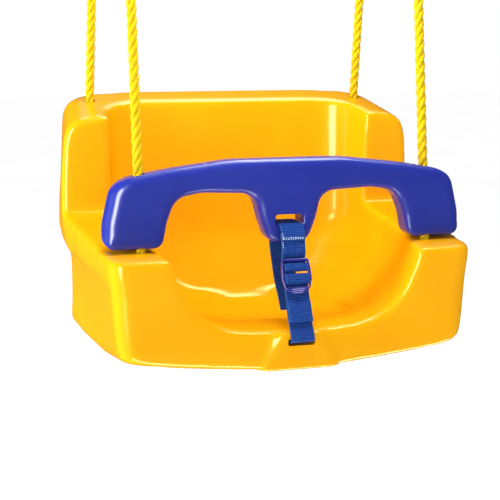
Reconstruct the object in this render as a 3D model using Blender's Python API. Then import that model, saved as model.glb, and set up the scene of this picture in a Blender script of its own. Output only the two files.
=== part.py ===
"""Toddler bucket swing: blow-moulded seat, sliding T-bar, crotch belt with ladder
lock, two doubled ropes and two steel rings.

Frame: metres, +Z up, +X to the right of someone facing the seat, -Y out of the
front of the seat.  The origin is on the seat's flat base, midway between the rings
in plan.  All dimensions below are millimetres.
"""
import math

import bmesh
import bpy
from mathutils import Matrix, Vector

MILLIMETRE = 0.001
SIDES = ((-1, "left"), (1, "right"))     # sign of x, and its name

# ---------------------------------------------------------------- dimensions
# seat shell
SEAT_BACK_Y = 163.0          # back face at the top edge
SEAT_BACK_Y_LOW = 150.0      # back face at the base
SEAT_TOP_Z = 273.0           # crown of the back's top edge
TOP_SLOPE = 0.22             # the top surface falls towards the front
TOP_SLOPE_RANGE = (150.0, 90.0)   # the slope starts at this z and is full this far up
ARM_FOOT = (62.0, 140.0)     # y, z where an arm meets its wing
ARM_SLOPE = 0.093            # an arm's top falls towards its post
WING_RISE = 160.0            # over this height ...
WING_LEAN = 6.0              # ... a wing's front face leans forward by this much
BASE_FLAT_Y = 40.0           # the base is flat behind this
BASE_LIFT_RUN = 190.0        # and rises over this length in front of it
BASE_LIFT_MID = 2.5          # rise of the base at the front, on the centre line
BASE_LIFT_SIDE = 11.0        # and this much more at BASE_LIFT_X
BASE_LIFT_X = 150.0
BASE_LIFT_FADE_Z = 80.0      # the outside no longer follows the lift above this
BASE_BOW = 6.0               # the base bows forward to meet the tongue
BASE_BOW_X = 120.0           # half-width of the bow
BASE_BOW_RANGE = (45.0, 30.0)     # the bow ends at this z and is full this far down
BASE_SINK = 0.6              # the moulded base sits this low before it is trimmed flat
WALL = 3.0                   # moulded wall thickness
VOXEL = 4.6                  # facet size the moulded body is rounded at
ROUNDING = 9                 # smoothing passes: edge radius of about 12 mm
SHELL_FACETS = 0.062         # share of the facets kept on the outside
CORE_FACETS = 0.036          # and on the inside of the wall
CUT_REACH = 260.0            # half-width of cutters that span the seat
CUT_BELOW_Z = -20.0          # pockets are cut from here upwards

# belt slot, the tongue that carries it and the pocket behind it
NOSE_Y = -159.0
TONGUE_BACK_Y = -130.0
TONGUE_LOW = (42.0, 1.5)     # half-width, z
TONGUE_HIGH = (22.0, 42.0)
BELT_SLOT_Z = 31.0
BELT_SLOT_H = 7.0
BELT_SLOT_W = 29.0
BELT_SLOT_CUT = (-200.0, -115.0)  # y range of the cut
BELT_POCKET_W = 64.0
BELT_POCKET_Y = (-131.0, -103.0)  # front, back
BELT_POCKET_ROOF = 37.2

# T-bar
TBAR_FRONT_Y = -119.0
TBAR_THICK = 30.0
TBAR_BACK_Y = TBAR_FRONT_Y + TBAR_THICK
TBAR_EDGE = 6.8              # radius of its moulded edges
TBAR_WALL = 2.6
TBAR_SLOT_Z = 150.7
TBAR_SLOT = (30.0, 11.0)     # width, height
TBAR_SLOT_CORNER = 2.0

# ropes
ROPE_D = 10.0
ROPE_HOLE_D = 12.4
ROPE_X = 155.0               # front legs, and the rings
LEG_Y = ROPE_D / 2 + 0.3     # half the spacing of two legs in their clamp
RING_GAP = 0.5               # between a rope and its ring's wire
BACK_HOLE = (164.0, 128.0, 262.0)
TBAR_HOLE_Y = -102.0         # at TBAR_HOLE_Z
TBAR_HOLE_Z = 200.0
FRONT_KNOT = (147.0, -117.0)
BACK_KNOT = (148.0, 118.0)
KNOTS = (("front", FRONT_KNOT), ("back", BACK_KNOT))
KNOT_POCKET_D = 45.0
KNOT_POCKET_GAP = 1.0        # added to the pocket's radius
KNOT_POCKET_ROOF = 43.0
KNOT_D = 24.0
# z, radius of a rope from its end up through its knot
KNOT_STATIONS = [(13.5, 6.0), (16.0, 10.2), (21.5, KNOT_D / 2), (27.0, 10.2),
                 (31.0, ROPE_D / 2 + 0.4)]
ABOVE_KNOT_Z = 44.0          # a rope runs straight up from its knot to here
FRONT_LEG_Z = (124.0, 150.0, 230.0, 400.0, 600.0, 800.0, 960.0)
BACK_LEG_SHARES = (0.06, 0.25, 0.5, 0.75, 0.95)   # of the way from clamp to back hole

# washers
WASHER_Z = 33.4
WASHER_INNER = 6.1
WASHER_OUTER = 13.5
WASHER_HALF_T = 1.2

# rings and clamps
RING_Z = 1070.0              # centre of the wire at a ring's lowest point
RING_R = 22.0                # mean radius
RING_WIRE_D = 8.0
CLAMP_TOP = 1034.0
CLAMP_H = 26.0
CLAMP_BOTTOM = CLAMP_TOP - CLAMP_H
CLAMP_WALL = 2.2
CLAMP_GAP = 0.35             # between a rope and the clamp
CLAMP_SHORT = 1.0            # the sleeve stops this far inside each end of CLAMP_H
CLAMP_CHAMFER = (0.7, 0.8)   # radial, axial

# webbing and ladder lock
WEB_W = 25.0
WEB_T = 1.6
WEB_GAP = 0.3                # between the webbing and a bar it turns round
BELT_TOP = (-121.5, 150.0)   # y, z of the belt's line at the T-bar's slot
BELT_LOW = (-163.5, 31.0)    # and at the seat's slot
ANCHOR = (-116.0, 29.0)      # y, z of the bar the belt is sewn round
ANCHOR_R = 4.0
ANCHOR_HALF_L = 26.0
LOCK_Z = 104.0               # height of the ladder lock's loop bar
LOCK_T = 4.0
LOCK_BEVEL = 0.9
LOCK_WINDOW_HALF_W = 12.9
LOCK_MIDDLE_BAR = 11.4       # from the loop bar down the belt to the middle bar
LOCK_GAP = LOCK_T / 2 + WEB_GAP + WEB_T / 2
# outward from the belt's line: flap, then the loop web's front and back legs
FLAP_OUT, LOOP_FRONT_OUT, LOOP_BACK_OUT = 3.1, 1.2, -0.7

# stitching on the flap
STITCH_HALF_W = 10.5
STITCH_ALONG = -30.0         # along the belt from the lock's loop bar
STITCH_ZIGZAG = 0.9
STITCH_COUNT = 26
THREAD_R = 0.35
THREAD_LIFT = 0.65           # thread's centre above the flap's face

# ---------------------------------------------------------------- materials
# base colour, roughness, metallic
MATERIALS = {
    "seat": ((0.965, 0.474, 0.006), 0.22, 0.0),
    "bar": ((0.030, 0.045, 0.376), 0.25, 0.0),
    "rope": ((0.939, 0.686, 0.007), 0.55, 0.0),
    "web": ((0.012, 0.070, 0.362), 0.75, 0.0),
    "lock": ((0.024, 0.042, 0.397), 0.30, 0.0),
    "steel": ((0.620, 0.630, 0.640), 0.30, 1.0),
    "thread": ((0.780, 0.800, 0.840), 0.70, 0.0),
}


def material(key):
    name = "mat_" + key
    mat = bpy.data.materials.get(name)
    if mat is None:
        colour, roughness, metallic = MATERIALS[key]
        mat = bpy.data.materials.new(name)
        mat.use_nodes = True
        shader = mat.node_tree.nodes["Principled BSDF"]
        shader.inputs["Base Color"].default_value = (*colour, 1.0)
        shader.inputs["Roughness"].default_value = roughness
        shader.inputs["Metallic"].default_value = metallic
        mat.diffuse_color = (*colour, 1.0)
    return mat


# ---------------------------------------------------------------- objects
def clear_scene():
    for obj in list(bpy.data.objects):
        bpy.data.objects.remove(obj, do_unlink=True)


def new_object(name, shape, key=None, origin=(0.0, 0.0, 0.0)):
    """A mesh object from a bmesh in millimetres, with its origin at `origin`."""
    for vert in shape.verts:
        vert.co = (vert.co - Vector(origin)) * MILLIMETRE
    bmesh.ops.recalc_face_normals(shape, faces=shape.faces)
    if shape.calc_volume(signed=True) < 0:
        bmesh.ops.reverse_faces(shape, faces=shape.faces)
    mesh = bpy.data.meshes.new(name)
    shape.to_mesh(mesh)
    shape.free()
    obj = bpy.data.objects.new(name, mesh)
    obj.location = Vector(origin) * MILLIMETRE
    bpy.context.scene.collection.objects.link(obj)
    if key:
        mesh.materials.append(material(key))
    return obj


def as_cutter(obj):
    obj.hide_render = True
    obj.display_type = "WIRE"
    return obj


def boolean(obj, other, operation="DIFFERENCE"):
    mod = obj.modifiers.new(operation.lower() + "_" + other.name, "BOOLEAN")
    mod.operation = operation
    mod.solver = "EXACT"
    mod.object = other


def cut(obj, name, shape):
    """Cut a bmesh out of an object, through a hidden helper object."""
    boolean(obj, as_cutter(new_object(name, shape)))


def smooth_shade(obj, degrees=40.0):
    obj.data.shade_smooth()
    obj.data.set_sharp_from_angle(angle=math.radians(degrees))


# ---------------------------------------------------------------- outlines
def clamp01(value):
    return max(0.0, min(1.0, value))


def mirrored(half):
    """A whole outline from its +X half; a corner on the centre line stays single."""
    return half + [(-x, y, radius) for x, y, radius in reversed(half) if x > 1e-6]


def rectangle(left, right, low, high):
    return [(left, low), (right, low), (right, high), (left, high)]


def fillet_outline(corners, steps):
    """Points round a closed polygon whose corners (x, y, radius) are rounded."""
    points = []
    count = len(corners)
    for i, (x, y, radius) in enumerate(corners):
        corner = Vector((x, y))
        before = Vector(corners[i - 1][:2]) - corner
        after = Vector(corners[(i + 1) % count][:2]) - corner
        before_length, after_length = before.length, after.length
        before.normalize()
        after.normalize()
        half_angle = math.acos(max(-1.0, min(1.0, before.dot(after)))) / 2
        # a straight corner keeps its number of points, so that lofted rings match
        if radius <= 0 or half_angle > math.radians(89.9):
            points += [corner.copy() for _ in range(steps + 1 if radius > 0 else 1)]
            continue
        setback = min(radius / math.tan(half_angle), 0.49 * before_length, 0.49 * after_length)
        fitted = setback * math.tan(half_angle)
        centre = corner + (before + after).normalized() * (fitted / math.sin(half_angle))
        start = corner + before * setback - centre
        end = corner + after * setback - centre
        turn = start.angle_signed(end)
        for k in range(steps + 1):
            spoke = start.copy()
            spoke.rotate(Matrix.Rotation(-turn * k / steps, 2))
            points.append(centre + spoke)
    return points


def inset_outline(points, depth):
    """The same outline, wound either way, drawn `depth` further in."""
    area = sum(points[i - 1].cross(point) for i, point in enumerate(points))
    sign = 1.0 if area > 0 else -1.0
    inset = []
    for i, point in enumerate(points):
        before = (point - points[i - 1]).normalized()
        after = (points[(i + 1) % len(points)] - point).normalized()
        along = (before + after).normalized()
        inward = Vector((-along.y, along.x)) * sign
        inset.append(point + inward * (depth / max(0.6, along.dot(after))))
    return inset


def drop_repeats(points, distance):
    """The outline without points that nearly coincide."""
    kept = [points[0]]
    for point in points[1:]:
        if (point - kept[-1]).length > distance:
            kept.append(point)
    if (kept[-1] - kept[0]).length <= distance:
        kept.pop()
    return kept


def circle_angles(count, shift=0.0):
    return [2 * math.pi * (k + shift) / count for k in range(count)]


def arc(centre, radius, start, end, steps):
    """Points on an arc, angles in degrees from the first axis towards the second."""
    angles = [math.radians(start + (end - start) * k / steps) for k in range(steps + 1)]
    return [(centre[0] + radius * math.cos(angle), centre[1] + radius * math.sin(angle))
            for angle in angles]


# ---------------------------------------------------------------- solids
def prism(outline, plane, low, high):
    """A bmesh prism: an outline in the plane "YZ", "XZ" or "XY", swept low to high."""
    shape = bmesh.new()

    def place(point, sweep):
        if plane == "YZ":
            return (sweep, point[0], point[1])
        if plane == "XZ":
            return (point[0], sweep, point[1])
        return (point[0], point[1], sweep)

    first, last = [[shape.verts.new(place(point, sweep)) for point in outline]
                   for sweep in (low, high)]
    shape.faces.new(first)
    shape.faces.new(list(reversed(last)))
    count = len(outline)
    for i in range(count):
        j = (i + 1) % count
        shape.faces.new((first[j], first[i], last[i], last[j]))
    return shape


def loft(rings, closed=False):
    """A body through rings of equally many points: capped at both ends, or
    closed from the last ring back to the first."""
    shape = bmesh.new()
    loops = [[shape.verts.new(point) for point in ring] for ring in rings]
    following = loops[1:] + loops[:1] if closed else loops[1:]
    count = len(loops[0])
    for lower, upper in zip(loops, following):
        for i in range(count):
            j = (i + 1) % count
            shape.faces.new((lower[i], lower[j], upper[j], upper[i]))
    if not closed:
        shape.faces.new(list(reversed(loops[0])))
        shape.faces.new(loops[-1])
    return shape


def tube(path, radii, sides=12):
    """A closed tube along a path, each ring square to it; one radius or a list."""
    if not isinstance(radii, list):
        radii = [radii] * len(path)
    rings = []
    reference = Vector((1.0, 0.0, 0.0))
    for i, (point, radius) in enumerate(zip(path, radii)):
        centre = Vector(point)
        ahead = Vector(path[min(i + 1, len(path) - 1)])
        behind = Vector(path[max(i - 1, 0)])
        tangent = (ahead - behind).normalized()
        if abs(tangent.x) > 0.9:
            reference = Vector((0.0, 1.0, 0.0))
        across = (reference - tangent * reference.dot(tangent)).normalized()
        other = tangent.cross(across)
        rings.append([centre + across * (radius * math.cos(angle))
                      + other * (radius * math.sin(angle))
                      for angle in circle_angles(sides, 0.31)])
    return loft(rings)


def ribbon(path):
    """The webbing along a line in the Y-Z plane: thickened, then swept across X."""
    headings = [(Vector(end) - Vector(start)).normalized()
                for start, end in zip(path, path[1:])]
    left, right = [], []
    for i, point in enumerate(path):
        before = headings[max(i - 1, 0)]
        after = headings[min(i, len(headings) - 1)]
        along = (before + after).normalized()
        normal = Vector((-along.y, along.x))
        # widened at a bend, so that the straight runs keep their thickness
        stretch = 1.0 / max(0.5, abs(normal.dot(Vector((-before.y, before.x)))))
        offset = normal * (WEB_T / 2 * stretch)
        left.append(Vector(point) + offset)
        right.append(Vector(point) - offset)
    return prism(left + right[::-1], "YZ", -WEB_W / 2, WEB_W / 2)


# ---------------------------------------------------------------- seat shell
RING_STEPS = 6               # steps round each corner of a horizontal ring
OUTSIDE_ARM = (-45.0, 80.0)  # y and corner radius half way along the arm
OUTSIDE_WING_RADIUS = 60.0
OUTSIDE_BACK_RADIUS = 24.0
FRONT_EDGE_STEPS = 12
FRONT_EDGE_DEPTH = 12.0      # points within this of the front face follow the bow
# z, half-widths at the front post, half way along the arm, at the wing's
# front edge and at the back, then the front face's y
OUTSIDE = [
    (0.0, 172.0, 176.0, 181.0, 180.0, -147.0),
    (3.0, 180.0, 183.0, 187.5, 189.5, -150.5),
    (8.0, 183.5, 185.5, 190.0, 192.0, -151.5),
    (16.0, 185.0, 186.5, 189.5, 191.5, -151.5),
    (30.0, 186.5, 187.0, 189.0, 190.0, -151.5),
    (60.0, 188.5, 188.5, 189.0, 189.5, -151.0),
    (84.0, 189.5, 190.0, 190.5, 189.0, -151.0),
    (92.0, 190.0, 193.0, 197.0, 192.0, -151.0),
    (102.0, 191.5, 197.0, 203.5, 197.0, -151.0),
    (120.0, 192.5, 199.5, 207.5, 201.0, -151.0),
    (145.0, 192.5, 200.0, 209.0, 199.5, -151.0),
    (190.0, 191.5, 199.5, 208.5, 195.0, -151.0),
    (223.0, 190.5, 198.5, 207.0, 193.0, -151.0),
    (240.0, 189.5, 197.0, 205.5, 192.5, -151.0),
    (250.0, 187.5, 195.0, 204.0, 192.0, -151.0),
    (257.0, 185.5, 193.0, 201.5, 190.5, -151.0),
    (262.0, 181.5, 189.5, 198.0, 188.0, -151.0),
    (266.0, 176.0, 184.0, 193.0, 183.0, -151.0),
    (269.0, 168.0, 175.0, 184.0, 175.0, -151.0),
    (271.3, 150.0, 156.0, 166.0, 158.0, -151.0),
    (273.0, 100.0, 103.0, 106.0, 102.0, -151.0),
]
# sizes of the base's inner rings, as shares of its rim
BASE_SCALES = (0.02, 0.2, 0.4, 0.6, 0.75, 0.9)
# the hollow that the child sits in: z, half-width towards the front, half-width
# at the wing, back face's y, radius of the back corners
INSIDE = [
    (43.0, 34.0, 72.0, 50.0, 40.0),
    (45.0, 62.0, 84.0, 57.0, 46.0),
    (50.0, 84.0, 98.0, 67.0, 50.0),
    (55.0, 94.0, 106.5, 74.0, 52.0),
    (60.0, 101.0, 113.0, 79.5, 54.0),
    (66.0, 106.5, 119.5, 84.5, 55.0),
    (74.0, 113.0, 127.0, 89.0, 54.0),
    (84.0, 118.0, 134.0, 93.0, 52.0),
    (98.0, 123.5, 141.0, 97.0, 48.0),
    (112.0, 127.5, 147.0, 100.5, 46.0),
    (126.0, 130.0, 150.0, 102.5, 45.0),
    (150.0, 132.0, 151.0, 105.0, 45.0),
    (200.0, 133.0, 151.5, 110.0, 44.0),
    (250.0, 134.0, 152.0, 115.0, 42.0),
    (320.0, 134.0, 152.0, 121.0, 42.0),
]
INSIDE_FRONT = (-235.0, 5.0)     # y and corner radius, well ahead of the seat
INSIDE_FRONT_NARROWING = 8.0     # taken off the front half-width at that y
INSIDE_WING = (-12.0, 60.0)      # y and corner radius
# the pan behind the front rim: z, half-width, front y, back y
PAN = [
    (38.6, 58.0, -66.0, 26.0),
    (39.6, 72.0, -82.0, 38.0),
    (41.5, 84.0, -92.0, 47.0),
    (44.0, 91.0, -98.0, 54.0),
    (47.0, 95.0, -101.0, 60.0),
]
PAN_RADIUS = 34.0


def base_lift(x, y):
    """How far the base rises off the ground: nothing behind BASE_FLAT_Y."""
    forward = clamp01((BASE_FLAT_Y - y) / BASE_LIFT_RUN) ** 2
    return (BASE_LIFT_MID + BASE_LIFT_SIDE * (x / BASE_LIFT_X) ** 2) * forward


def outside_ring(row):
    z, front, arm, wing, back, front_y = row
    back_y = SEAT_BACK_Y_LOW + (SEAT_BACK_Y - SEAT_BACK_Y_LOW) * z / SEAT_TOP_Z
    # the front corners are rounder in the lowest 10 mm
    front_radius = 15.0 + 6.0 * max(0.0, 1 - z / 10.0)
    points = fillet_outline(mirrored([
        (front, front_y, front_radius), (arm, *OUTSIDE_ARM),
        (wing, ARM_FOOT[0], OUTSIDE_WING_RADIUS), (back, back_y, OUTSIDE_BACK_RADIUS)]),
        RING_STEPS)
    # more points along the straight front edge, so that it can bow
    last = points[-1]
    points += [last.lerp(points[0], k / FRONT_EDGE_STEPS) for k in range(1, FRONT_EDGE_STEPS)]

    slope_z, slope_run = TOP_SLOPE_RANGE
    rise = clamp01((z - slope_z) / slope_run)
    bow_z, bow_run = BASE_BOW_RANGE
    bow = BASE_BOW * clamp01((bow_z - z) / bow_run)
    ring = []
    for point in points:
        if point.y < front_y + FRONT_EDGE_DEPTH:
            point.y -= bow * max(0.0, 1.0 - (point.x / BASE_BOW_X) ** 2) ** 2
        lift = base_lift(point.x, point.y) * max(0.0, 1.0 - z / BASE_LIFT_FADE_Z)
        ring.append((point.x, point.y,
                     z + lift + rise * TOP_SLOPE * (point.y - SEAT_BACK_Y)))
    return ring


def base_rings():
    """Growing rings that carry the base's own shape out from its middle."""
    rim = outside_ring(OUTSIDE[0])
    rings = []
    for scale in BASE_SCALES:
        ring = [(x * scale, (y - BASE_FLAT_Y) * scale + BASE_FLAT_Y) for x, y, z in rim]
        rings.append([(x, y, base_lift(x, y)) for x, y in ring])
    return rings


def level_ring(half, z):
    """A horizontal ring from its +X half's corners."""
    return [(point.x, point.y, z) for point in fillet_outline(mirrored(half), RING_STEPS)]


def inside_ring(row):
    z, front, wing, back_y, radius = row
    return level_ring([(front - INSIDE_FRONT_NARROWING, *INSIDE_FRONT),
                       (wing, *INSIDE_WING), (wing, back_y, radius)], z)


def pan_ring(row):
    z, half_width, front_y, back_y = row
    return level_ring([(half_width, front_y, PAN_RADIUS), (half_width, back_y, PAN_RADIUS)], z)


def arm_cut_shape():
    """Everything above the arms and in front of the wings."""
    foot_y, foot_z = ARM_FOOT
    front_y = -300.0
    side = fillet_outline([(front_y, foot_z - ARM_SLOPE * (foot_y - front_y), 0),
                           (foot_y, foot_z, 9.0),
                           (foot_y - WING_LEAN, foot_z + WING_RISE, 0),
                           (front_y, 320.0, 0)], 5)
    return prism(side, "YZ", -CUT_REACH, CUT_REACH)


def tongue_shape():
    """The tongue that carries the belt slot; it widens downwards."""
    low, low_z = TONGUE_LOW
    high, high_z = TONGUE_HIGH
    outline = [(-low, low_z), (low, low_z), (high, high_z), (-high, high_z)]
    return prism(outline, "XZ", NOSE_Y, TONGUE_BACK_Y)


def seat_body(name):
    """The moulded seat's solid form: block, less arm cut, hollow and pockets."""
    block = new_object(name, loft(base_rings() + [outside_ring(row) for row in OUTSIDE]),
                       "seat")
    cut(block, name + "_arm_cut", arm_cut_shape())
    cut(block, name + "_hollow", loft([inside_ring(row) for row in INSIDE]))
    cut(block, name + "_pan", loft([pan_ring(row) for row in PAN]))
    boolean(block, as_cutter(new_object(name + "_tongue", tongue_shape())), "UNION")
    cut(block, name + "_belt_pocket",
        prism(rectangle(-BELT_POCKET_W / 2, BELT_POCKET_W / 2, *BELT_POCKET_Y),
              "XY", CUT_BELOW_Z, BELT_POCKET_ROOF))
    for sign, side in SIDES:
        for place, (x, y) in KNOTS:
            cut(block, "%s_knot_%s_%s" % (name, place, side[0]),
                tube([(sign * x, y, CUT_BELOW_Z), (sign * x, y, KNOT_POCKET_ROOF)],
                     KNOT_POCKET_D / 2 + KNOT_POCKET_GAP, 24))

    remesh = block.modifiers.new("mould_grid", "REMESH")
    remesh.mode = "VOXEL"
    remesh.voxel_size = VOXEL * MILLIMETRE
    smooth = block.modifiers.new("mould_radii", "SMOOTH")
    smooth.factor = 0.5
    smooth.iterations = ROUNDING
    return block


def thin_facets(obj, ratio):
    thin = obj.modifiers.new("facets", "DECIMATE")
    thin.ratio = ratio
    thin.use_symmetry = True
    thin.symmetry_axis = "X"


def below(z):
    """A wide slab whose top is at z."""
    return prism(rectangle(-CUT_REACH, CUT_REACH, -CUT_REACH, CUT_REACH), "XY", -60.0, z)


def build_seat():
    """The hollow shell: the moulded form less the same form inset by the wall."""
    shell = seat_body("seat_shell")
    core = as_cutter(seat_body("seat_core"))
    inset = core.modifiers.new("wall", "DISPLACE")
    inset.direction = "NORMAL"
    inset.mid_level = 0.0
    inset.strength = -WALL * MILLIMETRE
    thin_facets(shell, SHELL_FACETS)
    thin_facets(core, CORE_FACETS)

    shell.location.z -= BASE_SINK * MILLIMETRE
    cut(shell, "base_plane", below(0.0))
    cut(core, "core_base_plane", below(WALL))
    boolean(shell, core)

    cut(shell, "belt_slot",
        prism(rectangle(-BELT_SLOT_W / 2, BELT_SLOT_W / 2,
                        BELT_SLOT_Z - BELT_SLOT_H / 2, BELT_SLOT_Z + BELT_SLOT_H / 2),
              "XZ", *BELT_SLOT_CUT))
    for sign, side in SIDES:
        for name, path in rope_holes(sign):
            cut(shell, "rope_hole_%s_%s" % (name, side[0]), tube(path, ROPE_HOLE_D / 2))
    smooth_shade(shell, 45)


# ---------------------------------------------------------------- ropes
def on_front_leg(sign, z):
    """The point at height z on the front leg's straight line from the clamp."""
    top = Vector((sign * ROPE_X, -LEG_Y, CLAMP_BOTTOM))
    hole = Vector((sign * ROPE_X, TBAR_HOLE_Y, TBAR_HOLE_Z))
    return hole + (top - hole) * ((z - hole.z) / (top.z - hole.z))


def rope_path(sign):
    """Centre line from the front knot, over the ring's wire, to the back knot."""
    ring_x = sign * ROPE_X
    clamp_heights = (CLAMP_BOTTOM, CLAMP_TOP - CLAMP_H / 2, CLAMP_TOP)
    knot_heights = [z for z, radius in KNOT_STATIONS] + [ABOVE_KNOT_Z]

    x, y = FRONT_KNOT
    path = [Vector((sign * x, y, z)) for z in knot_heights]
    path.append(Vector((sign * (x + 4.0), y + 1.0, 80.0)))
    path += [on_front_leg(sign, z) for z in FRONT_LEG_Z]
    path += [Vector((ring_x, -LEG_Y, z)) for z in clamp_heights]

    bend = RING_WIRE_D / 2 + ROPE_D / 2 + RING_GAP
    for k in range(9):
        angle = math.pi - math.pi * k / 8
        path.append(Vector((ring_x, bend * math.cos(angle), RING_Z + bend * math.sin(angle))))

    path += [Vector((ring_x, LEG_Y, z)) for z in reversed(clamp_heights)]
    top = path[-1]
    x, y, z = BACK_HOLE
    hole = Vector((sign * x, y, z))
    path += [top.lerp(hole, share) for share in BACK_LEG_SHARES]
    path.append(Vector((sign * x, y + 1.5, z - 8.0)))
    path.append(Vector((sign * (x - 0.7), y + 2.5, z - 30.0)))
    x, y = BACK_KNOT
    path.append(Vector((sign * (x + 8.0), y + 8.0, 150.0)))
    path.append(Vector((sign * (x + 1.0), y + 1.5, 70.0)))
    path += [Vector((sign * x, y, z)) for z in reversed(knot_heights)]
    return path


def rope_holes(sign):
    """Name and line of each hole: through the knot pockets' roofs and the top skin."""

    def low(knot):
        x, y = knot
        return [Vector((sign * x, y, KNOT_POCKET_ROOF - 14)), Vector((sign * x, y, 60.0))]

    lean = Vector((sign * 2.0, 0.5, 0))
    x, y, z = BACK_HOLE
    return (
        ("low_front", low(FRONT_KNOT)),
        ("top_front", [on_front_leg(sign, 90.0) - lean, on_front_leg(sign, 160.0)]),
        ("low_back", low(BACK_KNOT)),
        ("top_back", [Vector((sign * (x - 0.6), y + 2.2, z - 30.0)),
                      Vector((sign * (x - 0.2), y - 2.5, z + 30.0))]),
    )


def build_rope(name, sign):
    """One doubled rope, swelling into a knot near each end."""
    path = rope_path(sign)
    knot = [radius for z, radius in KNOT_STATIONS]
    plain = [ROPE_D / 2] * (len(path) - 2 * len(knot))
    obj = new_object(name, tube(path, knot + plain + knot[::-1]), "rope",
                     (sign * ROPE_X, 0.0, RING_Z))
    smooth_shade(obj)


def build_washer(name, sign, knot):
    """A flat washer round the rope, above its knot."""
    x, y = sign * knot[0], knot[1]
    low, high = WASHER_Z - WASHER_HALF_T, WASHER_Z + WASHER_HALF_T
    rings = [[(x + radius * math.cos(angle), y + radius * math.sin(angle), z)
              for angle in circle_angles(28)]
             for radius, z in ((WASHER_INNER, low), (WASHER_OUTER, low),
                               (WASHER_OUTER, high), (WASHER_INNER, high))]
    obj = new_object(name, loft(rings, closed=True), "steel", (x, y, WASHER_Z))
    smooth_shade(obj, 30)


def build_ring(name, sign):
    """A welded round ring: its wire's circle spun about the ring's own axis."""
    shape = bmesh.new()
    centre = Vector((sign * ROPE_X, 0.0, RING_Z + RING_R))
    wire = RING_WIRE_D / 2
    sides = 10
    loop = [shape.verts.new(centre + Vector((0.0, wire * math.sin(angle),
                                             -RING_R + wire * math.cos(angle))))
            for angle in circle_angles(sides)]
    edges = [shape.edges.new((loop[i], loop[(i + 1) % sides])) for i in range(sides)]
    bmesh.ops.spin(shape, geom=loop + edges, cent=centre, axis=(0, 1, 0),
                   angle=2 * math.pi, steps=32, use_merge=True)
    bmesh.ops.remove_doubles(shape, verts=shape.verts, dist=0.001)
    obj = new_object(name, shape, "steel", centre)
    smooth_shade(obj)


def clamp_oval(sign, radius, z):
    """Every second point of two half circles, one round each leg."""
    points = []
    for leg_y, start in ((LEG_Y, -math.pi / 2), (-LEG_Y, math.pi / 2)):
        for k in range(25):
            angle = start + math.pi * k / 24
            points.append((sign * ROPE_X + radius * math.sin(angle),
                           leg_y + radius * math.cos(angle), z))
    return points[::2]


def build_clamp(name, sign):
    """A pressed oval sleeve that holds a rope's two legs together."""
    inner = ROPE_D / 2 + CLAMP_GAP
    outer = inner + CLAMP_WALL
    low, high = CLAMP_BOTTOM + CLAMP_SHORT, CLAMP_TOP - CLAMP_SHORT
    radial, axial = CLAMP_CHAMFER
    rings = [clamp_oval(sign, radius, z) for radius, z in
             ((inner, low), (outer - radial, low), (outer, low + axial),
              (outer, high - axial), (outer - radial, high), (inner, high))]
    obj = new_object(name, loft(rings, closed=True), "steel",
                     (sign * ROPE_X, 0.0, (low + high) / 2))
    smooth_shade(obj, 35)


# ---------------------------------------------------------------- T-bar
# the +X half of its front outline, from the crown round the end, the leg arch and
# the centre post: x, z and corner radius
TBAR_HALF = [
    (60.0, 213.7, 200.0), (120.0, 206.4, 200.0), (168.0, 198.5, 60.0),
    (184.0, 189.5, 20.0), (193.2, 150.0, 60.0), (192.3, 126.8, 17.0),
    (133.5, 126.8, 13.0), (128.0, 152.0, 40.0), (119.0, 176.5, 20.0),
    (92.0, 181.2, 60.0), (36.5, 178.5, 20.0), (30.5, 152.0, 60.0),
    (21.0, 126.5, 16.0),
]


def tbar_body(name, inset, rim_steps, corner_steps):
    """The outline swept through the bar's thickness, with rounded rims, all
    drawn in by `inset`."""
    outline = drop_repeats(fillet_outline(mirrored(TBAR_HALF), corner_steps), 1.0)
    edge = TBAR_EDGE - inset
    angles = [math.pi / 2 * k / rim_steps for k in range(rim_steps + 1)]
    # how far in from the outline, and how far in from the face
    levels = [(inset + edge * (1 - math.sin(angle)), edge * (1 - math.cos(angle)))
              for angle in angles]
    rings = [[(point.x, TBAR_FRONT_Y + inset + depth, point.y)
              for point in inset_outline(outline, inward)] for inward, depth in levels]
    rings += [[(point.x, TBAR_BACK_Y - inset - depth, point.y)
               for point in inset_outline(outline, inward)]
              for inward, depth in reversed(levels)]
    return new_object(name, loft(rings), "bar")


def build_tbar():
    obj = tbar_body("t_bar", inset=0.0, rim_steps=3, corner_steps=3)
    core = tbar_body("t_bar_core", inset=TBAR_WALL, rim_steps=1, corner_steps=2)
    boolean(obj, as_cutter(core))
    half_w, half_h = TBAR_SLOT[0] / 2, TBAR_SLOT[1] / 2
    corners = rectangle(-half_w, half_w, TBAR_SLOT_Z - half_h, TBAR_SLOT_Z + half_h)
    slot = fillet_outline([(x, z, TBAR_SLOT_CORNER) for x, z in corners], 2)
    cut(obj, "t_bar_slot", prism(slot, "XZ", TBAR_FRONT_Y - 10, TBAR_BACK_Y + 10))
    for sign, side in SIDES:
        path = [on_front_leg(sign, 110.0), on_front_leg(sign, 230.0)]
        cut(obj, "t_bar_rope_hole_" + side[0], tube(path, ROPE_HOLE_D / 2, 16))
    smooth_shade(obj, 35)


# ---------------------------------------------------------------- belt
# The belt's own frame, used by the tables below: (along, out), where along runs
# down the belt from the lock's loop bar and out is in front of the belt's line.

# slot strap's sewn end on the flap: (along, out)
FLAP_PATH = [(-27.6, FLAP_OUT), (-36.0, FLAP_OUT)]
# then through the T-bar's slot to the tail behind: (y, z)
SLOT_PATH = [
    (TBAR_FRONT_Y - 5.5, 144.2), (TBAR_FRONT_Y - 2.2, 146.2), (TBAR_FRONT_Y + 4, 146.9),
    (TBAR_BACK_Y - 0.8, 146.9), (TBAR_BACK_Y + 2.0, 145.8), (TBAR_BACK_Y + 3.0, 142.0),
    (TBAR_BACK_Y + 1.8, 122.0), (TBAR_BACK_Y - 7.0, 101.0), (TBAR_BACK_Y - 22.0, 78.0),
    (TBAR_BACK_Y - 38.5, 58.5),
]
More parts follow.
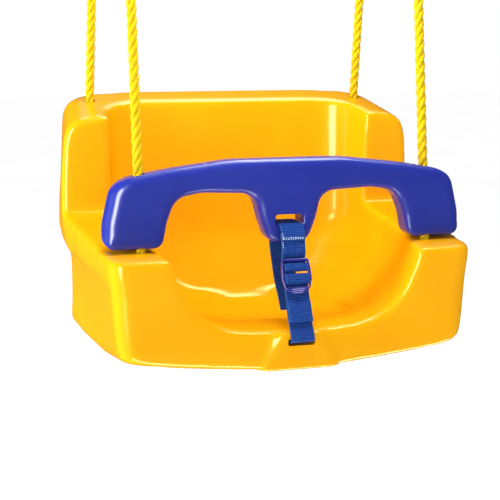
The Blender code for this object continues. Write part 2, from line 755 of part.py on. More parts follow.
# loop web, from its front leg round the loop bar to its back leg: (along, out)
LOOP_PATH = [
    (-36.0, LOOP_FRONT_OUT), (-20.0, LOOP_FRONT_OUT), (-17.0, 1.0), (-14.0, -0.6),
    (-11.5, -2.6), (-9.5, -3.3), (-7.0, -3.3), (-5.3, -3.0), (-4.3, -1.9), (-4.0, -0.4),
    (-4.0, 0.4), (-3.7, 1.9), (-2.7, 3.0), (-1.0, 3.3), (0.8, 3.3), (2.5, 2.95),
    (3.2, 1.7), (3.3, 0.0), (3.2, -1.7), (2.3, -3.4), (0.4, -4.8), (-4.0, -5.4),
    (-9.5, -5.4), (-13.0, -4.6), (-17.5, -1.7), (-20.0, LOOP_BACK_OUT),
    (-36.0, LOOP_BACK_OUT),
]
# the ladder lock's +X half, from its top corner to the tip of its tab on the
# centre line: x, along, corner radius
LOCK_HALF = [(14.4, -9.4, 3.2), (15.6, 0.0, 10.0), (16.3, 12.0, 10.0), (13.4, 22.5, 9.0),
             (0.0, 29.6, 14.0)]
# name, and the range along the belt
LOCK_WINDOWS = (("top", -6.1, -1.9), ("upper", 1.9, 9.4), ("lower", 13.4, 20.4))


def belt_point(along, out):
    """The (y, z) vector of a point in the belt's frame."""
    top, low = Vector(BELT_TOP), Vector(BELT_LOW)
    down = (low - top).normalized()
    front = Vector((down.y, -down.x))
    loop_bar = top + down * ((top.y - LOCK_Z) / -down.y)
    return loop_bar + down * along + front * out


def belt_points(path):
    return [belt_point(along, out) for along, out in path]


def build_slot_strap():
    """The strap through the T-bar's slot: front flap, through the slot, tail behind."""
    new_object("slot_strap", ribbon(belt_points(FLAP_PATH) + SLOT_PATH), "web")


def build_loop_web():
    """Both legs are sewn under the flap, pass behind the lock's top bar and turn
    round its loop bar."""
    new_object("buckle_loop_web", ribbon(belt_points(LOOP_PATH)), "web")


def build_lower_strap():
    """Sewn round the anchor bar, out of the seat's slot, up behind the lock, over
    its middle bar, and down in front of itself to a free end."""
    path = [(-126.5, 26.2)]
    path += arc(ANCHOR, ANCHOR_R + WEB_GAP + WEB_T / 2, 215, 450, 10)
    path += [(-127.0, 31.6), (-150.0, BELT_SLOT_Z), (-161.0, BELT_SLOT_Z + 0.2),
             (-164.6, BELT_SLOT_Z + 3.5)]
    loaded = -(LOCK_GAP + WEB_T + 0.4)
    middle = LOCK_MIDDLE_BAR
    path += belt_points(
        [(55.0, loaded * 0.7), (34.4, loaded), (12.4, loaded),
         (middle - 4.4, loaded + 1.5), (middle - 4.8, -1.0), (middle - 4.6, 1.6)]
        + arc((middle - 2.0, 0.0), LOCK_GAP, 128, 90, 3)
        + [(middle + 2.6, LOCK_GAP), (16.0, LOCK_GAP - 1.4), (17.0, -1.6),
           (19.0, -LOCK_GAP), (31.4, -LOCK_GAP), (38.4, 0.4), (56.0, 2.0)])
    new_object("lower_strap", ribbon(path), "web")


def build_anchor_bar():
    ends = [(-ANCHOR_HALF_L, *ANCHOR), (ANCHOR_HALF_L, *ANCHOR)]
    obj = new_object("belt_anchor_bar", tube(ends, ANCHOR_R, 16), "steel", (0, *ANCHOR))
    smooth_shade(obj, 30)


def onto_belt(shape):
    """Move a bmesh drawn as (x, out, along) onto the belt."""
    for vert in shape.verts:
        x, out, along = vert.co
        vert.co = (x, *belt_point(along, out))
    return shape


def build_lock():
    """The ladder lock: a plate with three windows and a rounded lifting tab."""
    corners = mirrored(LOCK_HALF)
    # start from the left top corner
    outline = fillet_outline(corners[-1:] + corners[:-1], 3)
    plate = prism(outline, "XZ", -LOCK_T / 2, LOCK_T / 2)
    rims = [edge for edge in plate.edges
            if abs(edge.verts[0].co.y - edge.verts[1].co.y) < 1e-6]
    bmesh.ops.bevel(plate, geom=rims, offset=LOCK_BEVEL, segments=2, profile=0.5,
                    affect="EDGES")
    obj = new_object("ladder_lock", onto_belt(plate), "lock", (0.0, *belt_point(0.0, 0.0)))
    for name, low, high in LOCK_WINDOWS:
        window = prism(rectangle(-LOCK_WINDOW_HALF_W, LOCK_WINDOW_HALF_W, low, high),
                       "XZ", -10.0, 10.0)
        cut(obj, "lock_window_" + name, onto_belt(window))
    smooth_shade(obj, 35)


def build_stitching():
    """The row of thread that closes the front flap's end: a zigzag lying on it."""
    out = FLAP_OUT + WEB_T / 2 + THREAD_LIFT
    rings = []
    for k in range(STITCH_COUNT + 1):
        x = -STITCH_HALF_W + 2 * STITCH_HALF_W * k / STITCH_COUNT
        along = STITCH_ALONG + (STITCH_ZIGZAG if k % 2 else -STITCH_ZIGZAG)
        centre = Vector((x, *belt_point(along, out)))
        rings.append([centre + Vector((0.0, THREAD_R * math.cos(angle),
                                       THREAD_R * math.sin(angle)))
                      for angle in circle_angles(6)])
    new_object("flap_stitching", loft(rings), "thread")


# ---------------------------------------------------------------- assembly
def main():
    clear_scene()
    build_seat()
    build_tbar()
    build_lock()
    build_slot_strap()
    build_loop_web()
    build_lower_strap()
    build_anchor_bar()
    build_stitching()
    for sign, side in SIDES:
        build_rope("rope_" + side, sign)
        build_ring("ring_" + side, sign)
        build_clamp("rope_clamp_" + side, sign)
        for place, knot in KNOTS:
            build_washer("washer_%s_%s" % (place, side), sign, knot)
    bpy.context.view_layer.update()


main()
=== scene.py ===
"""Toddler bucket swing: moulded seat and T-bar, twisted ropes, woven belt with a
ladder lock, steel hardware, materials, a plain studio and the camera.

The swing faces -Y with Z up, is symmetric about x = 0 and stands on z = 0.
Pieces are modelled in millimetres and scaled to metres, in the CAD's frame;
lights, floor and camera are in metres.
"""
import math

import bmesh
import bpy
import numpy as np
from mathutils import Matrix, Vector


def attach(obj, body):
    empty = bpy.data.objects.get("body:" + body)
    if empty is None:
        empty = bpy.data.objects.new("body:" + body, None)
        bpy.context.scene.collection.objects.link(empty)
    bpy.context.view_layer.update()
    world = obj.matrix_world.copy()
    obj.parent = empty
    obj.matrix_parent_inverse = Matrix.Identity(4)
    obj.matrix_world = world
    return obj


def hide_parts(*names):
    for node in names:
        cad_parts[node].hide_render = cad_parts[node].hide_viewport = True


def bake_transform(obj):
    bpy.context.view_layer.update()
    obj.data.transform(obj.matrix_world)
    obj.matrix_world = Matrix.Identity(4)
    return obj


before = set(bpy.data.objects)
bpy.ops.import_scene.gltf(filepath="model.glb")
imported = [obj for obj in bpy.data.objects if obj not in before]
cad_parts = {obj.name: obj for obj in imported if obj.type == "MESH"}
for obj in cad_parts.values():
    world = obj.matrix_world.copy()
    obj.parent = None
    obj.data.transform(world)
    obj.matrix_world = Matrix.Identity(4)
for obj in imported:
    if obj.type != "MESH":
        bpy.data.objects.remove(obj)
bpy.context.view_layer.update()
MM_TO_M = 0.001

# ---------------------------------------------------------------- dimensions
SEAT_BACK_Y, SEAT_BACK_Y_LOW, SEAT_TOP_Z = 163.0, 150.0, 273.0
TOP_SLOPE = 0.22             # fall of the rim towards the front
ARM_FOOT = (62.0, 140.0)     # y, z of the corner between arm and wing
ARM_SLOPE = 0.093
WING_LEAN = 4.0
BASE_LIFT_MID, BASE_LIFT_SIDE, BASE_BOW = 2.5, 11.0, 6.0
BASE_CENTRE_Y = 40.0         # the underside rises forward of here
SEAT_VOXEL = 2.3             # grid the moulding is rounded on
SEAT_PASSES = 36             # smoothing passes: edge radii of about 12 mm
SEAT_DROP = 0.6              # how far the rounded seat is let down onto z = 0

NOSE_Y = -159.0
BELT_SLOT_Z, BELT_SLOT_H, BELT_SLOT_W = 31.0, 7.0, 29.0
BELT_POCKET_W, BELT_POCKET_ROOF = 64.0, 37.2
BELT_POCKET_Y = (-131.0, -103.0)

TBAR_FRONT_Y, TBAR_THICK = -119.0, 30.0
TBAR_BACK_Y = TBAR_FRONT_Y + TBAR_THICK
TBAR_EDGE = 9.0
TBAR_VOXEL, TBAR_PASSES = 1.3, 5
TBAR_SLOT_Z, TBAR_SLOT_W, TBAR_SLOT_H = 150.7, 30.0, 11.0

ROPE_D, ROPE_HOLE_D, ROPE_X = 10.0, 12.4, 155.0
BACK_HOLE = (164.0, 128.0, 262.0)
TBAR_HOLE_Y, TBAR_HOLE_Z = -102.0, 200.0
FRONT_KNOT, BACK_KNOT = (147.0, -117.0), (148.0, 118.0)      # x, y
KNOT_POCKET_D, KNOT_POCKET_ROOF = 45.0, 43.0
ROPE_LAY = 34.0              # one turn of a strand

RING_Z, RING_R, RING_WIRE_D = 1070.0, 22.0, 8.0
CLAMP_TOP, CLAMP_H, CLAMP_WALL = 1034.0, 26.0, 2.2
CLAMP_LOW = CLAMP_TOP - CLAMP_H
CLAMPED_Y = ROPE_D / 2 + 0.3  # each leg's distance from y = 0 in the sleeve
WASHER_Z = 33.4
ANCHOR_Y, ANCHOR_Z, ANCHOR_R = -116.0, 29.0, 4.0

WEB_W, WEB_T = 25.0, 1.6
BELT_TOP, BELT_LOW = Vector((-121.5, 150.0)), Vector((-163.5, 31.0))     # y, z
LOCK_Z, LOCK_T = 104.0, 4.0
LOCK_VOXEL, LOCK_PASSES = 0.40, 4
LOCK_GAP = LOCK_T / 2 + 0.3 + WEB_T / 2
# the sewn layers, outward from the belt line
FLAP_OUT, LOOP_FRONT_OUT, LOOP_BACK_OUT = 3.1, 1.2, -0.7
RIB_PITCH = 1.75             # the webbing's crosswise ribs
WEB_STEP = 0.29              # spacing of the webbing's cross-sections
STITCH_R, STITCH_GAP = 0.36, 0.8

# height, half-widths at the front post, half way along the arm, at the wing's
# front edge and at the back, then the front face's y
OUTSIDE = [
    (0.0, 172.0, 176.0, 181.0, 180.0, -147.0),
    (3.0, 180.0, 183.0, 187.5, 189.5, -150.5),
    (8.0, 183.5, 185.5, 190.0, 192.0, -151.5),
    (16.0, 185.0, 186.5, 189.5, 191.5, -151.5),
    (30.0, 186.5, 187.0, 189.0, 190.0, -151.5),
    (60.0, 188.5, 188.5, 189.0, 189.5, -151.0),
    (84.0, 189.5, 190.0, 190.5, 189.0, -151.0),
    (92.0, 190.0, 193.0, 197.0, 192.0, -151.0),
    (102.0, 191.5, 197.0, 203.5, 197.0, -151.0),
    (120.0, 192.5, 199.5, 207.5, 201.0, -151.0),
    (145.0, 192.5, 200.0, 209.0, 199.5, -151.0),
    (190.0, 191.5, 199.5, 208.5, 195.0, -151.0),
    (223.0, 190.5, 198.5, 207.0, 193.0, -151.0),
    (240.0, 189.5, 197.0, 205.5, 192.5, -151.0),
    (250.0, 187.5, 195.0, 204.0, 192.0, -151.0),
    (257.0, 185.5, 193.0, 201.5, 190.5, -151.0),
    (262.0, 181.5, 189.5, 198.0, 188.0, -151.0),
    (266.0, 176.0, 184.0, 193.0, 183.0, -151.0),
    (269.0, 168.0, 175.0, 184.0, 175.0, -151.0),
    (271.3, 150.0, 156.0, 166.0, 158.0, -151.0),
    (273.0, 100.0, 103.0, 106.0, 102.0, -151.0),
]
# height, half-width at the front, half-width at the wing, back face's y, radius
# of the back corners of the hollow that the child sits in
INSIDE = [
    (43.0, 34.0, 72.0, 65.5, 42.0),
    (45.0, 62.0, 84.0, 66.5, 46.0),
    (50.0, 84.0, 98.0, 69.2, 50.0),
    (55.0, 94.0, 106.5, 72.0, 52.0),
    (60.0, 101.0, 113.0, 75.0, 54.0),
    (66.0, 106.5, 119.5, 78.5, 55.0),
    (74.0, 113.0, 127.0, 83.0, 54.0),
    (84.0, 118.0, 134.0, 88.3, 52.0),
    (98.0, 123.5, 141.0, 95.5, 48.0),
    (112.0, 127.5, 147.0, 99.5, 46.0),
    (126.0, 130.0, 150.0, 102.0, 45.0),
    (150.0, 132.0, 151.0, 105.0, 45.0),
    (200.0, 133.0, 151.5, 110.0, 44.0),
    (250.0, 134.0, 152.0, 115.0, 42.0),
    (320.0, 134.0, 152.0, 121.0, 42.0),
]
# height, half-width, front and rear y of the shallow dish in the pan
PAN = [
    (33.0, 48.0, -4.0, 55.0),
    (33.8, 56.0, -30.0, 57.5),
    (36.0, 64.0, -50.0, 59.5),
    (38.0, 68.0, -64.0, 61.0),
    (39.6, 76.0, -82.0, 62.3),
    (41.5, 84.0, -92.0, 63.6),
    (44.0, 91.0, -98.0, 65.3),
    (47.0, 95.0, -101.0, 67.3),
]
PAN_TAPER = 22.0              # how much narrower the dish is at the rear, each side
# the +X half of the T-bar's front outline: x, z and corner radius
TBAR_HALF = [
    (60.0, 213.7, 200.0), (120.0, 206.4, 200.0), (168.0, 198.5, 60.0),
    (184.0, 189.5, 20.0), (193.2, 150.0, 60.0), (192.3, 126.8, 17.0),
    (133.5, 126.8, 13.0), (128.0, 152.0, 40.0), (119.0, 176.5, 20.0),
    (92.0, 181.2, 60.0), (36.5, 178.5, 20.0), (30.5, 152.0, 60.0),
    (21.0, 126.5, 16.0),
]
# the +X half of the lock's outline: x, distance down the belt and corner radius
LOCK_HALF = [(14.4, -9.4, 3.2), (15.6, 0.0, 10.0), (16.3, 12.0, 10.0), (13.4, 22.5, 9.0)]
LOCK_TIP = (0.0, 29.6, 14.0)
LOCK_WINDOWS = ((-6.1, -1.9), (1.9, 9.4), (13.4, 20.4))      # from, to down the belt
# radius and height of a washer's section, from its plane
WASHER_SECTION = [
    (6.15, -0.8), (6.35, -1.15), (6.9, -1.2), (12.9, -1.2), (13.4, -1.0), (13.5, -0.5),
    (13.5, 0.7), (13.2, 1.1), (12.6, 1.2), (6.8, 1.2), (6.3, 1.05), (6.15, 0.6),
]
# place across the tape and thickness there, as fractions of half its size
WEB_PROFILE = [
    (-1.0, 0.28), (-0.985, 0.62), (-0.955, 0.86), (-0.90, 0.98), (-0.80, 1.0), (-0.6, 1.0),
    (-0.4, 1.0), (-0.2, 1.0), (0.0, 1.0), (0.2, 1.0), (0.4, 1.0), (0.6, 1.0), (0.80, 1.0),
    (0.90, 0.98), (0.955, 0.86), (0.985, 0.62), (1.0, 0.28),
]


# ---------------------------------------------------------------- mesh helpers
def link(obj):
    bpy.context.scene.collection.objects.link(obj)
    return obj


def face_outward(shape):
    bmesh.ops.recalc_face_normals(shape, faces=shape.faces)
    if shape.calc_volume(signed=True) < 0:
        bmesh.ops.reverse_faces(shape, faces=shape.faces)


def from_bmesh(name, shape):
    """An object from a bmesh in millimetres."""
    for vert in shape.verts:
        vert.co *= MM_TO_M
    face_outward(shape)
    mesh = bpy.data.meshes.new(name)
    shape.to_mesh(mesh)
    shape.free()
    return link(bpy.data.objects.new(name, mesh))


def from_arrays(name, verts, faces, uvs=None):
    """A mesh from points in millimetres; uvs holds one pair per face corner."""
    mesh = bpy.data.meshes.new(name)
    mesh.from_pydata([tuple(float(c) * MM_TO_M for c in vert) for vert in verts], [], faces)
    if uvs is not None:
        layer = mesh.uv_layers.new(name="UVMap")
        layer.data.foreach_set("uv", np.asarray(uvs, np.float32).ravel())
    mesh.validate()
    mesh.shade_smooth()
    return link(bpy.data.objects.new(name, mesh))


def shade(obj, sharp_angle=None):
    """Smooth shading, with edges steeper than sharp_angle degrees kept crisp."""
    obj.data.shade_smooth()
    if sharp_angle is not None:
        obj.data.set_sharp_from_angle(angle=math.radians(sharp_angle))
    return obj


def combine(obj, shape, operation="DIFFERENCE", solver="EXACT"):
    """Cut the shape from the object, or join it on, once the object is frozen."""
    mod = obj.modifiers.new("cut", "BOOLEAN")
    mod.operation = operation
    mod.solver = solver
    mod.object = from_bmesh("cutter", shape)


def round_edges(obj, voxel, passes):
    """Rebuild the surface on a fine grid and smooth it, which rounds every edge."""
    remesh = obj.modifiers.new("grid", "REMESH")
    remesh.mode = "VOXEL"
    remesh.voxel_size = voxel * MM_TO_M
    smooth = obj.modifiers.new("radii", "SMOOTH")
    smooth.factor = 0.5
    smooth.iterations = passes


def freeze(obj, mesh_name=None):
    """Apply the object's modifiers and remove the cutters they used."""
    bpy.context.view_layer.update()
    deps = bpy.context.evaluated_depsgraph_get()
    mesh = bpy.data.meshes.new_from_object(obj.evaluated_get(deps))
    cutters = [mod.object for mod in obj.modifiers if mod.type == "BOOLEAN"]
    obj.modifiers.clear()
    obj.data = mesh
    if mesh_name:
        mesh.name = mesh_name
    for cutter in cutters:
        bpy.data.objects.remove(cutter, do_unlink=True)


# ---------------------------------------------------------------- outlines
def fraction(value):
    return max(0.0, min(1.0, value))


def mirrored(half):
    """Corners (x, y, radius) followed by their mirror images in x, in reverse."""
    return half + [(-x, y, radius) for x, y, radius in reversed(half)]


def fillet_outline(corners, steps):
    """Points round a closed polygon whose corners are (x, y, radius)."""
    points = []
    for i, (x, y, radius) in enumerate(corners):
        corner = Vector((x, y))
        before = Vector(corners[i - 1][:2]) - corner
        after = Vector(corners[(i + 1) % len(corners)][:2]) - corner
        reach = min(0.49 * before.length, 0.49 * after.length)
        before.normalize()
        after.normalize()
        half = math.acos(max(-1.0, min(1.0, before.dot(after)))) / 2
        if radius <= 0 or half > math.radians(89.9):
            points += [corner.copy() for _ in range(steps + 1 if radius > 0 else 1)]
            continue
        cut = min(radius / math.tan(half), reach)
        fitted = cut * math.tan(half)
        centre = corner + (before + after).normalized() * (fitted / math.sin(half))
        start = corner + before * cut - centre
        end = corner + after * cut - centre
        turn = start.angle_signed(end)
        for k in range(steps + 1):
            spoke = start.copy()
            spoke.rotate(Matrix.Rotation(-turn * k / steps, 2))
            points.append(centre + spoke)
    return points


def slot_outline(half_width, low, high, radius=0.0, steps=5):
    """A rectangle centred on x = 0 with rounded corners."""
    return fillet_outline([(-half_width, low, radius), (half_width, low, radius),
                           (half_width, high, radius), (-half_width, high, radius)], steps)


def inset_outline(points, depth):
    area = sum(points[i - 1].cross(point) for i, point in enumerate(points))
    sign = 1.0 if area > 0 else -1.0
    moved = []
    for i, point in enumerate(points):
        before = (point - points[i - 1]).normalized()
        after = (points[(i + 1) % len(points)] - point).normalized()
        along = (before + after).normalized()
        inward = Vector((-along.y, along.x)) * sign
        moved.append(point + inward * (depth / max(0.6, along.dot(after))))
    return moved


def drop_repeats(points, distance):
    kept = [points[0]]
    for point in points[1:]:
        if (point - kept[-1]).length > distance:
            kept.append(point)
    if (kept[-1] - kept[0]).length <= distance:
        kept.pop()
    return kept


def edge_rounding(inset, depth, steps):
    """(inset, depth) pairs round a quarter of an ellipse, from face to side."""
    return [(inset * (1 - math.sin(angle)), depth * (1 - math.cos(angle)))
            for angle in (math.pi / 2 * k / steps for k in range(steps + 1))]


def arc(centre, radius, start, end, steps):
    angles = [math.radians(start + (end - start) * k / steps) for k in range(steps + 1)]
    return [(centre[0] + radius * math.cos(angle), centre[1] + radius * math.sin(angle))
            for angle in angles]


def circle_angles(count):
    return [2 * math.pi * k / count for k in range(count)]


# ---------------------------------------------------------------- bodies
def prism(outline, plane, low, high):
    """An outline drawn in a plane, extruded across it from low to high."""
    shape = bmesh.new()

    def place(point, level):
        if plane == "YZ":
            return (level, point[0], point[1])
        if plane == "XZ":
            return (point[0], level, point[1])
        return (point[0], point[1], level)

    ends = [[shape.verts.new(place(point, level)) for point in outline]
            for level in (low, high)]
    shape.faces.new(ends[0])
    shape.faces.new(list(reversed(ends[1])))
    count = len(outline)
    for i in range(count):
        j = (i + 1) % count
        shape.faces.new((ends[0][j], ends[0][i], ends[1][i], ends[1][j]))
    return shape


def loft(rings, closed=False):
    """A body through rings of equally many points; capped, or joined end to end."""
    shape = bmesh.new()
    loops = [[shape.verts.new(point) for point in ring] for ring in rings]
    count = len(loops[0])
    pairs = list(zip(loops, loops[1:]))
    if closed:
        pairs.append((loops[-1], loops[0]))
    for lower, upper in pairs:
        for i in range(count):
            j = (i + 1) % count
            shape.faces.new((lower[i], lower[j], upper[j], upper[i]))
    if not closed:
        shape.faces.new(list(reversed(loops[0])))
        shape.faces.new(loops[-1])
    return shape


def tube(path, radii, sides):
    """A round bar along a path; radii is one radius, or one for each point."""
    rings = []
    side = Vector((1.0, 0.0, 0.0))
    last = len(path) - 1
    for i, point in enumerate(path):
        centre = Vector(point)
        along = (Vector(path[min(i + 1, last)]) - Vector(path[max(i - 1, 0)])).normalized()
        if abs(along.x) > 0.9:
            side = Vector((0.0, 1.0, 0.0))
        across = (side - along * side.dot(along)).normalized()
        third = along.cross(across)
        radius = radii[i] if hasattr(radii, "__len__") else radii
        rings.append([centre + across * (radius * math.cos(angle))
                      + third * (radius * math.sin(angle))
                      for angle in (2 * math.pi * (k + 0.31) / sides for k in range(sides))])
    return loft(rings)


def sweep_faces(rings, sides, first=0):
    """Faces of a capped body whose points lie ring after ring from index first."""
    faces = []
    for i in range(rings - 1):
        lower = first + i * sides
        upper = lower + sides
        for j in range(sides):
            k = (j + 1) % sides
            faces.append((lower + j, lower + k, upper + k, upper + j))
    faces.append(tuple(first + j for j in reversed(range(sides))))
    faces.append(tuple(first + (rings - 1) * sides + j for j in range(sides)))
    return faces


def wall_uvs(around, along):
    """Corners of a swept body's side faces; around holds each face's two u values."""
    uvs = []
    for low, high in zip(along, along[1:]):
        for left, right in around:
            uvs += [(left, low), (right, low), (right, high), (left, high)]
    return uvs


def unit_rows(vectors):
    return vectors / np.linalg.norm(vectors, axis=1)[:, None]


def smooth_path(points, step):
    """Corner-cut a polyline and space it evenly; its points and their distances."""
    pts = np.array([tuple(point) for point in points], float)
    for _ in range(3):
        start, end = pts[:-1], pts[1:]
        mid = np.empty((2 * len(start), pts.shape[1]))
        mid[0::2] = 0.75 * start + 0.25 * end
        mid[1::2] = 0.25 * start + 0.75 * end
        pts = np.vstack([pts[:1], mid, pts[-1:]])
    gaps = np.linalg.norm(np.diff(pts, axis=0), axis=1)
    pts = pts[np.concatenate([[True], gaps > 1e-6])]
    gaps = np.linalg.norm(np.diff(pts, axis=0), axis=1)
    length = np.concatenate([[0], np.cumsum(gaps)])
    count = max(2, int(round(length[-1] / step)) + 1)
    dist = np.linspace(0, length[-1], count)
    line = np.stack([np.interp(dist, length, pts[:, k]) for k in range(pts.shape[1])], 1)
    return line, dist


def interpolate(table, z):
    """The columns of a table at height z, which is its first column."""
    for lower, upper in zip(table, table[1:]):
        if z <= upper[0]:
            part = (z - lower[0]) / (upper[0] - lower[0])
            return tuple(p + (q - p) * part for p, q in zip(lower[1:], upper[1:]))
    return table[-1][1:]


def refine(rows, step):
    """More rows between the rows of a table, so that a loft has no long facets."""
    fine = [rows[0]]
    for lower, upper in zip(rows, rows[1:]):
        count = max(1, int(math.ceil((upper[0] - lower[0]) / step)))
        fine += [tuple(p + (q - p) * k / count for p, q in zip(lower, upper))
                 for k in range(1, count + 1)]
    return fine


def on_front_leg(side, z):
    """The rope's straight front leg at height z, from the T-bar to the sleeve."""
    top = Vector((side * ROPE_X, -CLAMPED_Y, CLAMP_LOW))
    hole = Vector((side * ROPE_X, TBAR_HOLE_Y, TBAR_HOLE_Z))
    return hole + (top - hole) * ((z - hole.z) / (top.z - hole.z))


# ---------------------------------------------------------------- seat
def base_lift(x, y):
    """The underside's rise, growing to the front and the sides."""
    forward = fraction((BASE_CENTRE_Y - y) / 190.0) ** 2
    return (BASE_LIFT_MID + BASE_LIFT_SIDE * (x / 150.0) ** 2) * forward


def outside_ring(z):
    front, arm, wing, back, y_front = interpolate(OUTSIDE, z)
    y_back = SEAT_BACK_Y_LOW + (SEAT_BACK_Y - SEAT_BACK_Y_LOW) * z / SEAT_TOP_Z
    front_radius = 15.0 + 6.0 * max(0.0, 1 - z / 10.0)
    points = fillet_outline(mirrored([(front, y_front, front_radius), (arm, -45.0, 80.0),
                                      (wing, ARM_FOOT[0], 60.0), (back, y_back, 24.0)]), 10)
    # points along the straight front, so that it can bow
    last = points[-1]
    points += [last.lerp(points[0], k / 24) for k in range(1, 24)]
    rise = fraction((z - 150.0) / 90.0)
    bow = BASE_BOW * fraction((45.0 - z) / 30.0)
    ring = []
    for point in points:
        if point.y < y_front + 12.0:
            point.y -= bow * max(0.0, 1.0 - (point.x / 120.0) ** 2) ** 2
        lift = base_lift(point.x, point.y) * max(0.0, 1.0 - z / 80.0)
        ring.append((point.x, point.y,
                     z + lift + rise * TOP_SLOPE * (point.y - SEAT_BACK_Y)))
    return ring


def base_rings():
    """Scaled copies of the lowest ring that close the underside."""
    rim = outside_ring(0.0)
    rings = []
    for scale in (0.02, 0.2, 0.4, 0.6, 0.75, 0.9):
        flat = [(x * scale, (y - BASE_CENTRE_Y) * scale + BASE_CENTRE_Y) for x, y, _ in rim]
        rings.append([(x, y, base_lift(x, y)) for x, y in flat])
    return rings


def inside_ring(row):
    z, front, wing, y_back, radius = row
    half = [(front - 8.0, -235.0, 5.0), (wing, -12.0, 60.0), (wing, y_back, radius)]
    return [(point.x, point.y, z) for point in fillet_outline(mirrored(half), 12)]


def pan_ring(row):
    z, half, y_front, y_back = row
    rear = half - PAN_TAPER
    depth_limit = 0.42 * (y_back - y_front)
    front_radius = min(34.0, depth_limit)
    rear_radius = min(44.0, depth_limit, 0.9 * rear)
    corners = mirrored([(half, y_front, front_radius), (rear, y_back, rear_radius)])
    return [(point.x, point.y, z) for point in fillet_outline(corners, 10)]


def arm_cutter():
    """Everything above the arms and in front of the wings."""
    y, z = ARM_FOOT
    profile = [(-300.0, z - ARM_SLOPE * (y + 300.0), 0), (y, z, 9.0),
               (y - WING_LEAN * 1.5, z + 160.0, 0), (-300.0, 320.0, 0)]
    return prism(fillet_outline(profile, 8), "YZ", -260, 260)


def seat_rope_holes(side):
    """Centre lines of the rope holes, all blind inside the wall."""
    x, y, z = BACK_HOLE
    lines = [[on_front_leg(side, 100.0), on_front_leg(side, 160.0)],
             [Vector((side * (x - 0.6), y + 2.2, z - 30.0)),
              Vector((side * (x - 0.2), y - 2.5, z + 30.0))]]
    for x, y in (FRONT_KNOT, BACK_KNOT):
        lines.append([Vector((side * x, y, KNOT_POCKET_ROOF - 12)),
                      Vector((side * x, y, 58.0))])
    return lines


def settle(obj):
    """Let the seat down a little and flatten whatever is then below z = 0."""
    coords = np.zeros(len(obj.data.vertices) * 3, np.float32)
    obj.data.vertices.foreach_get("co", coords)
    coords = coords.reshape(-1, 3)
    coords[:, 2] = np.maximum(coords[:, 2] - SEAT_DROP * MM_TO_M, 0.0)
    obj.data.vertices.foreach_set("co", coords.ravel())
    obj.data.update()


def build_seat():
    levels = [row[0] for row in refine(OUTSIDE, 6.0)]
    seat = from_bmesh("seat_moulding", loft(base_rings() + [outside_ring(z) for z in levels]))
    combine(seat, arm_cutter())
    combine(seat, loft([inside_ring(row) for row in refine(INSIDE, 8.0)]))
    combine(seat, loft([pan_ring(row) for row in PAN]))
    # the tongue that juts out at the front, and the pocket under the belt's bar
    tongue = [(-42.0, 1.5), (42.0, 1.5), (22.0, 42.0), (-22.0, 42.0)]
    combine(seat, prism(tongue, "XZ", NOSE_Y, -130.0), "UNION")
    combine(seat, prism(slot_outline(BELT_POCKET_W / 2, *BELT_POCKET_Y),
                        "XY", -20.0, BELT_POCKET_ROOF))
    for side in (-1, 1):
        for x, y in (FRONT_KNOT, BACK_KNOT):
            combine(seat, tube([(side * x, y, -20.0), (side * x, y, KNOT_POCKET_ROOF)],
                               KNOT_POCKET_D / 2 + 1.0, 40))
    round_edges(seat, SEAT_VOXEL, SEAT_PASSES)
    freeze(seat)
    settle(seat)

    # crisp openings, cut after the rounding: the belt slot and the rope holes
    slot = slot_outline(BELT_SLOT_W / 2, BELT_SLOT_Z - BELT_SLOT_H / 2,
                        BELT_SLOT_Z + BELT_SLOT_H / 2, radius=2.2)
    combine(seat, prism(slot, "XZ", -200.0, -115.0), solver="MANIFOLD")
    for side in (-1, 1):
        for line in seat_rope_holes(side):
            combine(seat, tube(line, ROPE_HOLE_D / 2, 28), solver="MANIFOLD")
    freeze(seat, "seat_moulding")
    return shade(seat, sharp_angle=38)


# ---------------------------------------------------------------- T-bar
def build_tbar():
    outline = drop_repeats(fillet_outline(mirrored(TBAR_HALF), 8), 0.6)
    levels = edge_rounding(TBAR_EDGE, TBAR_EDGE * 0.85, 7)

    def rim(inset, depth, front):
        """One loop of the rim: broad at the bar's ends, tight along their bottoms."""
        ring = []
        for point, inner in zip(outline, inset_outline(outline, inset)):
            end = fraction((abs(point.x) - 168.0) / 16.0)
            low = fraction((141.0 - point.y) / 12.0) * (abs(point.x) > 100.0)
            widen = (1.0 + 0.55 * end) * (1.0 - 0.62 * low)
            deepen = (1.0 + 0.45 * end) * (1.0 - 0.62 * low)
            place = point + (inner - point) * widen
            y = TBAR_FRONT_Y + depth * deepen if front else TBAR_BACK_Y - depth * deepen
            ring.append((place.x, y, place.y))
        return ring

    rings = [rim(inset, depth, True) for inset, depth in levels]
    rings += [rim(inset, depth, False) for inset, depth in reversed(levels)]
    bar = from_bmesh("t_bar_moulding", loft(rings))
    slot = slot_outline(TBAR_SLOT_W / 2, TBAR_SLOT_Z - TBAR_SLOT_H / 2,
                        TBAR_SLOT_Z + TBAR_SLOT_H / 2, radius=2.4)
    combine(bar, prism(slot, "XZ", TBAR_FRONT_Y - 10, TBAR_BACK_Y + 10))
    for side in (-1, 1):
        combine(bar, tube([on_front_leg(side, 110.0), on_front_leg(side, 230.0)],
                          ROPE_HOLE_D / 2 + 0.3, 32))
    round_edges(bar, TBAR_VOXEL, TBAR_PASSES)
    freeze(bar, "t_bar_moulding")
    return shade(bar)


# ---------------------------------------------------------------- ropes
def knot(x, y):
    """A stopper knot: the cut end, then a round turn about the leg."""
    points = [Vector((x + 1.0, y + 11.0, 12.0)), Vector((x + 4.0, y + 9.0, 16.0))]
    for k in range(15):
        angle = math.radians(60 - 30 * k)
        points.append(Vector((x + 7.6 * math.cos(angle), y + 7.6 * math.sin(angle),
                              17.0 + 0.75 * k)))
    return points


